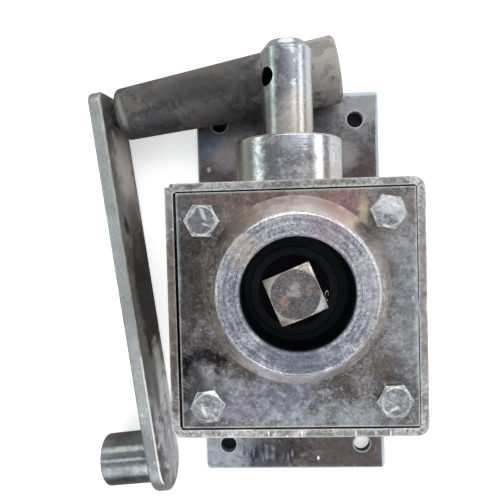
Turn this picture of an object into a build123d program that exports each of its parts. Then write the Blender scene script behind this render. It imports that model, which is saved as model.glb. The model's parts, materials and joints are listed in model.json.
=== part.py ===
from build123d import *
from math import asin, atan2, cos, degrees, pi, radians, sin, sqrt, tan
import os

# Hand-cranked shutter gearbox, in millimetres, lying on its mounting plate.
# The origin is the middle of the wall hole pattern, on the back face of the plate.
# +Z points out of the plate, along the square output shaft.
# +Y runs along the round input shaft.

# Mounting plate
plate_width = 101.5
plate_length = 211.8
plate_shift_y = 0.5
plate_thickness = 5.0
plate_corner_radius = 2.2
wall_hole_span_x = 76.0
wall_hole_span_y = 183.0
wall_hole_diameter = 9.0

# Housing sleeve, folded from one strip, with its open seam at the upper left corner
sleeve_size = 100.0
sleeve_wall = 3.2
sleeve_depth = 100.0
fold_radius = 4.6
seam_step = 1.4
seam_slit = 0.5
seam_slit_depth = 22.0

# Front cover, let into the mouth of the sleeve
cover_thickness = 5.0
cover_recess = 0.5
cover_side_gap = 0.6
cover_shift_x = 0.4
cover_corner_ease = 0.8

# Cover bolts and the threaded lugs behind them
bolt_span = 71.0
bolt_diameter = 8.0
bolt_length = 20.0
bolt_head_flats = 12.0
bolt_head_height = 5.5
bolt_face_diameter = 10.5
bolt_hole_gap = 0.4
thread_gap = 0.05
lug_length = 22.0
lug_wall = 2.8
lug_corner_gap = 0.1
bolt_wander = {
    "upper_left": (0.1, -0.3, -3.0),
    "upper_right": (-0.2, 1.1, -10.0),
    "lower_left": (0.5, -0.8, 7.0),
    "lower_right": (0.9, 0.5, 2.0),
}

# The two shaft axes, which cross inside the housing
gear_axis_x = -0.5
output_axis_y = 7.0
input_axis_z = 55.0

# Mitre gears
gear_module = 3.0
gear_teeth = 18
gear_face_width = 11.0
gear_pressure_angle = 20.0
gear_backlash = 0.35
gear_root_share = 1.25
gear_hub_diameter = 38.0
gear_back_distance = 35.0

# Fits
running_gap = 0.05
seat_gap = 0.03
end_gap = 0.3

# Input shaft and the boss that carries it
journal_diameter = 25.0
input_end_diameter = 24.0
input_reach = 118.3
input_end_chamfer = 4.2
input_tail_gap = 3.2
cross_hole_diameter = 9.0
cross_hole_setback = 16.9
cross_hole_turn = 54.0
boss_diameter = 50.2
boss_reach = 72.5
boss_recess_diameter = 36.0
boss_recess_depth = 3.0
boss_edge_radius = 0.8
bush_diameter = 32.0
bush_length = 12.0
bush_flange_diameter = 40.0
bush_flange_thickness = 1.5

# Output shaft, with the square end that drives the shutter barrel
square_side = 18.6
square_root_gap = 0.6
square_turn = 21.8
output_reach = 116.0
output_end_chamfer = 2.2
output_journal_diameter = 28.0
output_shoulder_diameter = 33.0
output_shoulder_length = 2.4
rear_journal_diameter = 20.0
rear_bush_diameter = 28.0
rear_bush_flange_diameter = 36.0
rear_cup_diameter = 42.0

# Front collar, one turned ring that also holds the ball bearing
collar_base_diameter = 73.2
collar_face_diameter = 59.4
collar_height = 15.5
collar_bore = 40.6
collar_offset_x = 0.7
collar_offset_y = 0.6
collar_edge_chamfer = 0.7
collar_spigot_wall = 5.5
collar_spigot_tail = 4.0
bearing_diameter = 52.0
bearing_width = 12.0
bearing_depth = 19.0
ball_diameter = 7.9
ball_count = 9
race_height = 3.2
race_groove_gap = 0.12
seal_thickness = 0.8
seal_inset = 0.3
cage_thickness = 2.2
cage_rim = 0.7
cage_reach = 1.5

# Retaining rings and keys
ring_thickness = 1.2
ring_height = 2.6
groove_depth = 0.8
groove_gap = 0.1
ring_opening = 50.0
key_width = 8.0
key_height = 7.0
key_length = 12.0
keyway_depth = 4.0

# Crank handle, lying beside the housing with its grip across the plate
arm_width = 35.0
arm_thickness = 7.2
arm_centres = 187.9
arm_head_overhang = 11.2
arm_foot_beyond = 1.4
arm_corner_radius = 6.0
arm_edge_break = 0.8
dimple_diameter = 4.0
dimple_depth = 1.4
dimple_up = 6.3
dimple_beyond = 5.4
socket_diameter = 28.0
socket_length = 27.4
socket_bore_gap = 0.2
socket_edge_radius = 1.2
socket_floor = 2.0
pin_hole_diameter = 9.0
spindle_diameter = 10.0
spindle_rivet_diameter = 15.0
spindle_rivet_height = 2.6
grip_start_gap = 3.9
grip_length = 118.3
grip_root_diameter = 27.6
grip_end_diameter = 35.0
grip_lip_radius = 2.6
grip_end_radius = 2.6
grip_bore_gap = 0.3
grip_recess_diameter = 21.0
grip_recess_depth = 7.0
inner_washer_diameter = 15.0
end_washer_diameter = 19.0
washer_thickness = 2.0
handle_x = -97.2
handle_y = 94.7
handle_turn = 7.2
handle_lean = 5.6
grip_turn = 8.85
rest_gap = 0.25

# Levels worked out from the sizes above
sleeve_front = plate_thickness + sleeve_depth
cover_front = sleeve_front - cover_recess
cover_back = cover_front - cover_thickness
collar_front = cover_front + collar_height
bearing_front = collar_front - bearing_depth
bearing_back = bearing_front - bearing_width
collar_spigot_radius = bearing_diameter / 2 + collar_spigot_wall
sleeve_inner = sleeve_size / 2 - sleeve_wall
inside_fold = fold_radius - sleeve_wall
collar_x = gear_axis_x + collar_offset_x
collar_y = output_axis_y + collar_offset_y
pitch_radius = gear_module * gear_teeth / 2
apex = Pos(gear_axis_x, output_axis_y, input_axis_z)
input_frame = apex * Rot(X=-90)
output_frame = apex * Rot(X=180)
journal_radius = journal_diameter / 2

parts = {}


def ring(outer, inner, low, high):
    """A turned ring on the local Z axis, by its diameters and its two levels."""
    shell = Cylinder(outer / 2, high - low) - Cylinder(inner / 2, high - low)
    return Pos(0, 0, (low + high) / 2) * shell


def turned(points):
    """A solid of revolution about the local Z axis, from (radius, level) corners."""
    profile = make_face(Polyline(*[(r, 0, z) for r, z in points], close=True))
    return revolve(profile, Axis.Z)


def retaining_ring(inner_radius, outer_radius, low, opening_at):
    """An open spring ring with the local Z axis as its own."""
    shell = ring(2 * outer_radius, 2 * inner_radius, low, low + ring_thickness)
    gap = tan(radians(ring_opening / 2)) * outer_radius
    wedge = make_face(Polyline((0, 0), (outer_radius * 2, gap * 2), (outer_radius * 2, -gap * 2), close=True))
    cutter = extrude(Pos(0, 0, low - 1) * wedge, ring_thickness + 2)
    return shell - Rot(Z=opening_at) * cutter


# Housing: plate and sleeve
def make_mounting_plate():
    outline = Pos(0, plate_shift_y) * RectangleRounded(plate_width, plate_length, plate_corner_radius)
    holes = GridLocations(wall_hole_span_x, wall_hole_span_y, 2, 2) * Circle(wall_hole_diameter / 2)
    return extrude(outline - holes, plate_thickness)


def make_sleeve():
    outer = Rectangle(sleeve_size, sleeve_size)
    folds = [v for v in outer.vertices() if not (v.X < 0 < v.Y)]
    outer = fillet(folds, fold_radius)
    inner = Rectangle(2 * sleeve_inner, 2 * sleeve_inner)
    folds = [v for v in inner.vertices() if not (v.X < 0 < v.Y)]
    inner = fillet(folds, inside_fold)
    corner = (-sleeve_size / 2, sleeve_size / 2)
    step = Pos(*corner) * Rectangle(2 * sleeve_wall, 2 * seam_step)
    sleeve = Pos(0, 0, plate_thickness) * extrude(outer - inner - step, sleeve_depth)
    slit_z = sleeve_front - seam_slit_depth / 2
    slit = Pos(-sleeve_inner, sleeve_size / 2, slit_z) * Box(seam_slit, 2 * (sleeve_wall - 1), seam_slit_depth)
    boss_hole = Pos(0, 0, sleeve_size / 2) * Cylinder(boss_diameter / 2 + seat_gap, sleeve_size)
    return sleeve - slit - input_frame * boss_hole


parts["mounting_plate"] = make_mounting_plate()
parts["housing_sleeve"] = make_sleeve()


# Cover, its bolts and the lugs welded into the corners of the sleeve
def bolt_place(name):
    side_x = -1 if name.endswith("left") else 1
    side_y = 1 if name.startswith("upper") else -1
    return side_x, side_y, side_x * bolt_span / 2, side_y * bolt_span / 2


def bolt_centre(name):
    """Hand-drilled, so each bolt stands a little off the square pattern."""
    side_x, side_y, x, y = bolt_place(name)
    wander_x, wander_y, turn = bolt_wander[name]
    return x + wander_x, y + wander_y, turn


def make_bolt(name):
    x, y, turn = bolt_centre(name)
    head_radius = bolt_head_flats / sqrt(3)
    head = extrude(RegularPolygon(head_radius, 6), bolt_head_height)
    bevel = (head_radius - bolt_face_diameter / 2) * tan(radians(30))
    crown = turned([
        (0, 0),
        (head_radius + bevel, 0),
        (head_radius + bevel, bolt_head_height - 2 * bevel),
        (bolt_face_diameter / 2, bolt_head_height),
        (0, bolt_head_height),
    ])
    shank_length = bolt_length - 1
    tip = 1.0
    shank = Pos(0, 0, -shank_length / 2) * Cylinder(bolt_diameter / 2, shank_length)
    point = Pos(0, 0, -shank_length - tip / 2) * Rot(X=180) * Cone(bolt_diameter / 2, bolt_diameter / 2 - tip, tip)
    return Pos(x, y, cover_front) * Rot(Z=turn) * ((head & crown) + shank + point)


def make_lug(name):
    """A square block in the corner, drilled through for its bolt."""
    side_x, side_y, x, y = bolt_place(name)
    centre_x, centre_y, turn = bolt_centre(name)
    outer = sleeve_inner - lug_corner_gap
    width = outer - bolt_span / 2 + bolt_diameter / 2 + lug_wall
    block = Pos(side_x * (outer - width / 2), side_y * (outer - width / 2), 0) * Rectangle(width, width)
    corner = block.vertices().sort_by_distance((side_x * outer, side_y * outer, 0))[0]
    block = chamfer(corner, inside_fold)
    hole = Pos(centre_x, centre_y) * Circle(bolt_diameter / 2 + thread_gap)
    return Pos(0, 0, cover_back - lug_length) * extrude(block - hole, lug_length)


def make_cover():
    side = 2 * (sleeve_inner - cover_side_gap)
    corner_radius = max(inside_fold - cover_corner_ease, 0.2)
    outline = Pos(cover_shift_x, 0) * RectangleRounded(side, side, corner_radius)
    outline -= Pos(gear_axis_x, output_axis_y) * Circle(collar_spigot_radius + seat_gap)
    for name in bolt_wander:
        x, y, turn = bolt_centre(name)
        outline -= Pos(x, y) * Circle(bolt_diameter / 2 + bolt_hole_gap)
    return Pos(0, 0, cover_back) * extrude(outline, cover_thickness)


for corner_name in bolt_wander:
    parts["corner_lug_" + corner_name] = make_lug(corner_name)
parts["front_cover"] = make_cover()
for corner_name in bolt_wander:
    parts["cover_bolt_" + corner_name] = make_bolt(corner_name)


# Front collar and its ball bearing
def make_collar():
    cone = turned([
        (0, cover_front),
        (collar_base_diameter / 2, cover_front),
        (collar_face_diameter / 2 + collar_edge_chamfer / 2, collar_front - collar_edge_chamfer),
        (collar_face_diameter / 2 - collar_edge_chamfer, collar_front),
        (0, collar_front),
    ])
    mouth = turned([
        (0, bearing_front),
        (collar_bore / 2, bearing_front),
        (collar_bore / 2, collar_front - collar_edge_chamfer),
        (collar_bore / 2 + collar_edge_chamfer, collar_front),
        (0, collar_front),
    ])
    tail = bearing_back - collar_spigot_tail
    spigot = Cylinder(collar_spigot_radius, cover_front - tail)
    spigot = Pos(0, 0, (cover_front + tail) / 2) * spigot
    seat_radius = bearing_diameter / 2 + seat_gap
    seat = Pos(0, 0, (bearing_front + tail) / 2) * Cylinder(seat_radius, bearing_front - tail)
    groove_low = bearing_back - end_gap - ring_thickness - groove_gap
    groove_radius = bearing_diameter / 2 + groove_depth + groove_gap
    groove = Pos(0, 0, groove_low) * extrude(Circle(groove_radius), ring_thickness + 2 * groove_gap)
    body = Pos(collar_x, collar_y) * cone + Pos(gear_axis_x, output_axis_y) * spigot
    return body - Pos(collar_x, collar_y) * mouth - Pos(gear_axis_x, output_axis_y) * (seat + groove)


def on_output_axis(shape):
    return Pos(gear_axis_x, output_axis_y) * shape


def make_bearing():
    middle = (bearing_front + bearing_back) / 2
    track = (output_journal_diameter + bearing_diameter) / 4
    groove = revolve(Pos(track, 0, middle) * Rot(X=90) * Circle(ball_diameter / 2 + race_groove_gap), Axis.Z)
    outer = ring(bearing_diameter, bearing_diameter - 2 * race_height, bearing_back, bearing_front) - groove
    inner_bore = output_journal_diameter + 2 * seat_gap
    inner = ring(output_journal_diameter + 2 * race_height, inner_bore, bearing_back, bearing_front) - groove
    pockets = PolarLocations(track, ball_count)
    balls = [Pos(0, 0, middle) * place * Sphere(ball_diameter / 2) for place in pockets]
    pocket = ball_diameter + 2 * race_groove_gap
    slots = [Pos(0, 0, middle) * place * Box(2 * cage_thickness, pocket, pocket) for place in pockets]
    rim_low = middle - pocket / 2 - cage_rim
    cage = ring(2 * track + cage_thickness, 2 * track - cage_thickness, rim_low, middle + cage_reach) - slots
    parts["bearing_outer_ring"] = on_output_axis(outer)
    parts["bearing_inner_ring"] = on_output_axis(inner)
    parts["bearing_balls"] = on_output_axis(Compound(balls))
    parts["bearing_cage"] = on_output_axis(cage)
    seal_outer = bearing_diameter - 2 * race_height - 2 * seat_gap
    seal_inner = output_journal_diameter + 2 * race_height + 2 * end_gap
    levels = {"front": bearing_front - seal_inset - seal_thickness, "rear": bearing_back + seal_inset}
    for side, low in levels.items():
        parts["bearing_seal_" + side] = on_output_axis(ring(seal_outer, seal_inner, low, low + seal_thickness))


parts["front_collar"] = make_collar()
make_bearing()
parts["bearing_retaining_ring"] = on_output_axis(retaining_ring(
    bearing_diameter / 2 + groove_depth - ring_height,
    bearing_diameter / 2 + groove_depth,
    bearing_back - end_gap - ring_thickness,
    -90,
))


# Mitre gears, with the apex of the pitch cones at the local origin and the back of the hub at +Z
def tooth_gap(scale, cone_angle):
    """The outline between two teeth, square to the pitch line, on the back cone's involute."""
    reach = pitch_radius / sin(cone_angle)
    virtual_radius = pitch_radius / cos(cone_angle)
    virtual_teeth = gear_teeth / cos(cone_angle)
    pressure = radians(gear_pressure_angle)
    base = virtual_radius * cos(pressure)
    root = virtual_radius - gear_root_share * gear_module
    past_tip = virtual_radius + 1.4 * gear_module
    half_tooth = (pi * gear_module / 2 - gear_backlash / 2) / (2 * virtual_radius)

    def corner(radius, side):
        roll = atan2(sqrt(max(radius**2 - base**2, 0)), base)
        involute = tan(roll) - roll
        at_pitch = tan(pressure) - pressure
        turn = pi / virtual_teeth - (half_tooth + at_pitch - involute)
        return side * radius * sin(turn) * scale, (radius * cos(turn) - virtual_radius) * scale

    def root_corner(side):
        x, y = corner(base, side)
        return x, y - (base - root) * scale

    right = ThreePointArc(corner(base, 1), corner(virtual_radius, 1), corner(past_tip, 1))
    left = ThreePointArc(corner(past_tip, -1), corner(virtual_radius, -1), corner(base, -1))
    top = Line(corner(past_tip, 1), corner(past_tip, -1))
    floor = Polyline(corner(base, -1), root_corner(-1), root_corner(1), corner(base, 1))
    outline = make_face([right, top, left, floor])
    along = Vector(sin(cone_angle), 0, cos(cone_angle))
    plane = Plane(origin=along * reach * scale, x_dir=(0, -1, 0), z_dir=along)
    return plane * outline


def make_gear(mesh_at, tooth_on_mesh):
    """A straight-toothed mitre gear with one tooth, or one gap, at the given angle."""
    cone_angle = radians(45)
    reach = pitch_radius / sin(cone_angle)
    toe = (reach - gear_face_width) / reach
    tip_out = gear_module * cos(cone_angle)
    root_in = gear_root_share * gear_module * cos(cone_angle)
    blank = turned([
        (journal_radius + seat_gap, toe * (pitch_radius + root_in)),
        (toe * (pitch_radius - root_in), toe * (pitch_radius + root_in)),
        (toe * (pitch_radius + tip_out), toe * (pitch_radius - tip_out)),
        (pitch_radius + tip_out, pitch_radius - tip_out),
        (pitch_radius - root_in, pitch_radius + root_in),
        (gear_hub_diameter / 2, pitch_radius + root_in + 1.5),
        (gear_hub_diameter / 2, gear_back_distance),
        (journal_radius + seat_gap, gear_back_distance),
    ])
    spare = 1.5 / reach
    gap = loft([tooth_gap(toe - spare, cone_angle), tooth_gap(1 + spare, cone_angle)], ruled=True)
    pitch = 360 / gear_teeth
    first = mesh_at + (pitch / 2 if tooth_on_mesh else 0)
    gaps = [Rot(Z=first + pitch * i) * gap for i in range(gear_teeth)]
    slot_height = key_height - keyway_depth + seat_gap
    slot = Pos(journal_radius, 0, gear_back_distance / 2) * Box(
        2 * slot_height, key_width + 2 * seat_gap, 2 * gear_back_distance
    )
    return blank - gaps - slot


def key_level():
    return gear_back_distance - 0.6 - key_length / 2


def make_key():
    height = key_height - seat_gap
    centre = journal_radius - keyway_depth + seat_gap + height / 2
    return Pos(centre, 0, key_level()) * Box(height, key_width, key_length)


def keyway(spare):
    centre = journal_radius - keyway_depth / 2 + 1
    return Pos(centre, 0, key_level()) * Box(keyway_depth + 2, key_width + 2 * spare, key_length + 2 * spare)


def gear_clip_level():
    """Just in front of the flat inner face of the gear."""
    reach = pitch_radius / sin(radians(45))
    toe = (reach - gear_face_width) / reach
    root_in = gear_root_share * gear_module * cos(radians(45))
    return toe * (pitch_radius + root_in) - groove_gap - ring_thickness


def clip_groove(low):
    depth = journal_radius - groove_depth - groove_gap
    return ring(2 * journal_radius + 2, 2 * depth, low - groove_gap, low + ring_thickness + groove_gap)


def make_clip(low, opening_at):
    inner = journal_radius - groove_depth
    return retaining_ring(inner, inner + ring_height, low, opening_at)


# Input shaft, along +Y: on its frame local Z is the distance from the crossing of the axes
boss_front = boss_reach - output_axis_y
boss_back = gear_back_distance + 2 * end_gap + bush_flange_thickness
input_clip_low = boss_front - boss_recess_depth + end_gap
input_end = input_reach - output_axis_y


def make_boss():
    body = ring(boss_diameter, bush_diameter + 2 * seat_gap, boss_back, boss_front)
    recess = ring(boss_recess_diameter, bush_diameter, boss_front - boss_recess_depth, boss_front + 1)
    rim = body.edges().filter_by(GeomType.CIRCLE).group_by(Axis.Z)[-1].sort_by(SortBy.RADIUS)[-1]
    return chamfer(rim, boss_edge_radius) - recess


def make_flanged_bush(bore, outside, flange, length, low, flange_below):
    """A bronze bush; its flange lies under the given level or on top of its barrel."""
    barrel = ring(outside, bore + 2 * running_gap, low, low + length)
    flange_low = low - bush_flange_thickness if flange_below else low + length
    return barrel + ring(flange, bore + 2 * running_gap, flange_low, flange_low + bush_flange_thickness)


def make_input_shaft():
    clip_low = gear_clip_level()
    tail = clip_low - input_tail_gap
    journal_end = input_clip_low + ring_thickness + 2 * groove_gap
    shaft = turned([
        (0, tail),
        (journal_radius - 1, tail),
        (journal_radius, tail + 1),
        (journal_radius, journal_end),
        (input_end_diameter / 2, journal_end),
        (input_end_diameter / 2, input_end - input_end_chamfer),
        (input_end_diameter / 2 - input_end_chamfer * 0.8, input_end),
        (0, input_end),
    ])
    hole = Cylinder(cross_hole_diameter / 2, 2 * journal_diameter)
    hole = Rot(Z=90 - cross_hole_turn) * Rot(Y=90) * hole
    cuts = Pos(0, 0, input_end - cross_hole_setback) * hole
    shaft = shaft - cuts - keyway(seat_gap)
    return shaft - clip_groove(clip_low) - clip_groove(input_clip_low)


parts["input_boss"] = input_frame * make_boss()
parts["input_bush_inner"] = input_frame * make_flanged_bush(
    journal_diameter, bush_diameter, bush_flange_diameter, bush_length, boss_back, True
)
outer_bush_low = boss_front - boss_recess_depth - bush_length
parts["input_bush_outer"] = input_frame * ring(
    bush_diameter, journal_diameter + 2 * running_gap, outer_bush_low, outer_bush_low + bush_length
)
parts["input_shaft"] = input_frame * make_input_shaft()
parts["input_gear"] = input_frame * make_gear(90, True)
parts["input_key"] = input_frame * make_key()
parts["input_gear_clip"] = input_frame * make_clip(gear_clip_level(), 180)
parts["input_outer_clip"] = input_frame * make_clip(input_clip_low, 0)


# Output shaft, along Z: on its frame local Z runs from the crossing of the axes to the plate
def make_output_shaft():
    shoulder_top = bearing_back
    hub_back = input_axis_z - gear_back_distance
    tail = plate_thickness + 1
    square_root = bearing_front + square_root_gap
    square_length = output_reach - square_root
    front_radius = output_journal_diameter / 2
    turned_part = turned([
        (0, tail),
        (rear_journal_diameter / 2 - 1, tail),
        (rear_journal_diameter / 2, tail + 1),
        (rear_journal_diameter / 2, hub_back),
        (journal_radius, hub_back),
        (journal_radius, shoulder_top - output_shoulder_length),
        (output_shoulder_diameter / 2, shoulder_top - output_shoulder_length),
        (output_shoulder_diameter / 2, shoulder_top),
        (front_radius, shoulder_top),
        (front_radius, square_root),
        (0, square_root),
    ])
    square = Pos(0, 0, square_root) * extrude(Rot(Z=square_turn) * Rectangle(square_side, square_side), square_length)
    cone = turned([
        (0, square_root),
        (front_radius, square_root),
        (front_radius, output_reach - output_end_chamfer),
        (square_side / 2, output_reach),
        (0, output_reach),
    ])
    shaft = on_output_axis(turned_part + (square & cone))
    return shaft - output_frame * (keyway(seat_gap) + clip_groove(gear_clip_level()))


parts["output_shaft"] = make_output_shaft()
parts["output_gear"] = output_frame * make_gear(-90, False)
parts["output_key"] = output_frame * make_key()
parts["output_gear_clip"] = output_frame * make_clip(gear_clip_level(), 180)
rear_bush_low = plate_thickness + end_gap
rear_barrel = input_axis_z - gear_back_distance - end_gap - bush_flange_thickness - rear_bush_low
parts["rear_bush"] = on_output_axis(make_flanged_bush(
    rear_journal_diameter, rear_bush_diameter, rear_bush_flange_diameter, rear_barrel, rear_bush_low, False
))
parts["rear_bearing_cup"] = on_output_axis(
    ring(rear_cup_diameter, rear_bush_diameter + 2 * seat_gap, plate_thickness, rear_bush_low + rear_barrel)
)


# Crank handle: the arm's frame has local X along the spindle and local Y from the socket to it
lean = radians(handle_lean)
arm_foot = arm_width / 2 * cos(lean) + arm_thickness / 2 * sin(lean)
socket_foot = socket_diameter / 2 * cos(lean) + (arm_thickness / 2 + socket_length) * sin(lean)
handle_z = max(arm_foot, socket_foot)
handle_place = Pos(handle_x, handle_y, handle_z)
arm_frame = handle_place * Rot(Z=handle_turn) * Rot(Y=-handle_lean)

# The grip leans on the left edge of the mounting plate
grip_start = arm_thickness / 2 + grip_start_gap
grip_taper = (grip_end_diameter - grip_root_diameter) / 2 / grip_length
run_to_plate = (-plate_width / 2 - handle_x) / cos(radians(grip_turn))
grip_radius_there = grip_root_diameter / 2 + grip_taper * (run_to_plate - grip_start)
grip_rise = degrees(asin((plate_thickness + rest_gap + grip_radius_there - handle_z) / run_to_plate))
grip_frame = handle_place * Rot(Z=grip_turn) * Rot(Y=90 - grip_rise)


def make_arm():
    foot_length = arm_centres + arm_foot_beyond
    foot = Pos(-foot_length, 0) * Circle(arm_width / 2)
    bar_length = foot_length + arm_head_overhang
    bar = Pos(arm_head_overhang - bar_length / 2, 0) * Rectangle(bar_length, arm_width)
    bar = fillet(bar.vertices().group_by(Axis.X)[-1], arm_corner_radius)
    outline = bar + foot
    plane = Plane(origin=(-arm_thickness / 2, 0, 0), x_dir=(0, 1, 0), z_dir=(1, 0, 0))
    arm = extrude(plane * outline, arm_thickness)
    long_edges = arm.edges().filter_by(Axis.Y)
    arm = chamfer(long_edges, arm_edge_break)
    dimple = Pos(arm_thickness / 2, -arm_centres - dimple_beyond, dimple_up)
    arm -= dimple * Rot(Y=90) * Cylinder(dimple_diameter / 2, 2 * dimple_depth)
    spindle_hole = grip_frame * Cylinder(spindle_diameter / 2 + seat_gap, 4 * arm_thickness)
    return arm_frame * arm - spindle_hole


def make_socket():
    """A short cup welded to the arm, which slips over the end of the input shaft."""
    bore = input_end_diameter / 2 + socket_bore_gap
    cup = Cylinder(socket_diameter / 2, socket_length)
    rim = cup.edges().group_by(Axis.Z)[-1]
    cup = fillet(rim, socket_edge_radius)
    cup -= Pos(0, 0, socket_floor) * Cylinder(bore, socket_length)
    pin_hole = Pos(0, -socket_diameter / 2, 2) * Rot(X=90) * Cylinder(pin_hole_diameter / 2, socket_diameter)
    cup -= pin_hole
    return arm_frame * Pos(-arm_thickness / 2 - socket_length / 2, -arm_centres, 0) * Rot(Y=-90) * cup


def make_spindle():
    """Riveted into the arm at one end and over a washer at the other."""
    start = -arm_thickness / 2 + 0.4
    washer_low = grip_start + grip_length - grip_recess_depth
    head_low = washer_low + end_gap + washer_thickness
    head_radius = spindle_rivet_diameter / 2
    return grip_frame * turned([
        (0, start),
        (spindle_diameter / 2, start),
        (spindle_diameter / 2, head_low),
        (head_radius, head_low),
        (head_radius, head_low + spindle_rivet_height / 3),
        (head_radius * 0.6, head_low + spindle_rivet_height),
        (0, head_low + spindle_rivet_height),
    ])


def make_grip():
    end = grip_start + grip_length
    recess_low = end - grip_recess_depth
    bore = spindle_diameter / 2 + grip_bore_gap
    grip = turned([
        (bore, grip_start),
        (grip_root_diameter / 2, grip_start),
        (grip_end_diameter / 2, end),
        (grip_recess_diameter / 2, end),
        (grip_recess_diameter / 2, recess_low),
        (bore, recess_low),
    ])
    circles = grip.edges().filter_by(GeomType.CIRCLE)
    root_rim = circles.group_by(Axis.Z)[0].sort_by(SortBy.RADIUS)[-1]
    grip = fillet(root_rim, grip_lip_radius)
    circles = grip.edges().filter_by(GeomType.CIRCLE)
    end_rim = circles.group_by(Axis.Z)[-1].sort_by(SortBy.RADIUS)[-1]
    return grip_frame * fillet(end_rim, grip_end_radius)


def make_washer(diameter, low):
    bore = spindle_diameter + 2 * seat_gap
    return grip_frame * ring(diameter, bore, low, low + washer_thickness)


parts["crank_arm"] = make_arm()
parts["crank_socket"] = make_socket()
parts["grip_spindle"] = make_spindle()
parts["crank_grip"] = make_grip()
parts["grip_inner_washer"] = make_washer(inner_washer_diameter, grip_start - washer_thickness - end_gap)
parts["grip_end_washer"] = make_washer(end_washer_diameter, grip_start + grip_length - grip_recess_depth + end_gap)

os.makedirs("parts", exist_ok=True)
for node_name, solid in parts.items():
    export_step(solid, f"parts/{node_name}.step")
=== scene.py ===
import json
import math

import bmesh
import bpy
from mathutils import Matrix, Vector, noise


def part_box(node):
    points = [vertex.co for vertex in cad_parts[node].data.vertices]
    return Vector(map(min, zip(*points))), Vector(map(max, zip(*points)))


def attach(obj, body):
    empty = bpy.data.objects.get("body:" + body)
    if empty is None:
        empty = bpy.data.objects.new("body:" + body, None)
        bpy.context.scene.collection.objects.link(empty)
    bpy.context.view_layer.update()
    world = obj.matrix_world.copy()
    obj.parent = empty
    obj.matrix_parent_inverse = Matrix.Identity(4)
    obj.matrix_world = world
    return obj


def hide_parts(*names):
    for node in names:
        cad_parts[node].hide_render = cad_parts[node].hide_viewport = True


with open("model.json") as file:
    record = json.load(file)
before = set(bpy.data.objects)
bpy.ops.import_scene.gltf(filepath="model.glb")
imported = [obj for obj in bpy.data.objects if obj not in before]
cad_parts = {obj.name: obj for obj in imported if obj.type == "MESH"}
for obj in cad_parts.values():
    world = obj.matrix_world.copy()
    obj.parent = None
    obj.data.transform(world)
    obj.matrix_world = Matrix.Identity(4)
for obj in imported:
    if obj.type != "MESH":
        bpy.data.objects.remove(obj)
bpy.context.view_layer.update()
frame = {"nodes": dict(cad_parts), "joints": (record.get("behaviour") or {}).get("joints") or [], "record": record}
nodes = frame["nodes"]
record = frame["record"]
mm = 0.001
slotOf = {part["node"]: part["material_slot"] for part in record["subparts"]}
bodyOf = {member: body for body, members in record["behaviour"]["bodies"].items() for member in members}
joints = {joint["name"]: joint for joint in frame["joints"]}
outputAxis = Vector(joints["output_turn"]["pos_m"])
inputAxis = Vector(joints["input_turn"]["pos_m"])
noise.seed_set(7)  # else the lumps of weld differ from run to run
print("frame loaded with", len(nodes), "nodes")


# Camera, seen from the front of the cover and a little above its middle
cameraLook = {
    "place": (-6.0 * mm, 30.5 * mm, 318.0 * mm),
    "tilt": (-0.033, 0.053, -0.028),  # radians about X, Y and Z, taken in the order Z, X, Y
    "focalPixels": 552.4, "picturePixels": 500.0, "sensor": 36.0,
    "near": 0.01, "far": 20.0,
}


def placeCamera(look):
    data = bpy.data.cameras.new("frontCamera")
    data.sensor_width = look["sensor"]
    data.lens = look["focalPixels"] / look["picturePixels"] * look["sensor"]
    data.clip_start, data.clip_end = look["near"], look["far"]
    camera = bpy.data.objects.new("frontCamera", data)
    camera.location = look["place"]
    camera.rotation_mode = "ZXY"
    camera.rotation_euler = look["tilt"]
    bpy.context.scene.collection.objects.link(camera)
    bpy.context.scene.camera = camera


placeCamera(cameraLook)
print("camera placed")


# Node helpers
def isSocket(value):
    return isinstance(value, bpy.types.NodeSocket)


def feed(tree, socket, value):
    if isSocket(value):
        tree.links.new(value, socket)
    else:
        socket.default_value = value


def putNode(tree, kind, inputs, **settings):
    node = tree.nodes.new(kind)
    for name, value in settings.items():
        setattr(node, name, value)
    for name, value in inputs.items():
        feed(tree, node.inputs[name], value)
    return node


def mathNode(tree, operation, first, second=0.0):
    return putNode(tree, "ShaderNodeMath", {0: first, 1: second}, operation=operation).outputs[0]


def times(tree, first, second):
    return mathNode(tree, "MULTIPLY", first, second)


def plus(tree, first, second):
    return mathNode(tree, "ADD", first, second)


def minus(tree, first, second):
    return mathNode(tree, "SUBTRACT", first, second)


def vectorNode(tree, operation, inputs, output="Vector"):
    return putNode(tree, "ShaderNodeVectorMath", dict(enumerate(inputs)), operation=operation).outputs[output]


def rotated(tree, inputs, kind):
    return putNode(tree, "ShaderNodeVectorRotate", inputs, rotation_type=kind).outputs[0]


def noiseNode(tree, inputs, scale, detail, roughness, dimensions="3D"):
    inputs = {**inputs, "Scale": scale, "Detail": detail, "Roughness": roughness}
    return putNode(tree, "ShaderNodeTexNoise", inputs, noise_dimensions=dimensions).outputs["Fac"]


def remap(tree, value, low, high, kind="LINEAR"):
    inputs = {"Value": value, "From Min": low, "From Max": high}
    return putNode(tree, "ShaderNodeMapRange", inputs, interpolation_type=kind).outputs["Result"]


def between(tree, value, low, high):
    inputs = {"Value": value, "To Min": low, "To Max": high}
    return putNode(tree, "ShaderNodeMapRange", inputs).outputs["Result"]


def fromAxis(tree, vector):
    parts = putNode(tree, "ShaderNodeSeparateXYZ", {0: vector}).outputs
    squares = [times(tree, part, part) for part in (parts[0], parts[1])]
    return mathNode(tree, "SQRT", plus(tree, *squares)), parts[2]


def mixColour(tree, mask, under, over):
    node = putNode(tree, "ShaderNodeMix", {"Factor": mask}, data_type="RGBA")
    for socket, value in ((node.inputs[6], under), (node.inputs[7], over)):
        feed(tree, socket, value if isSocket(value) else (*value, 1.0))
    return node.outputs[2]


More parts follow.
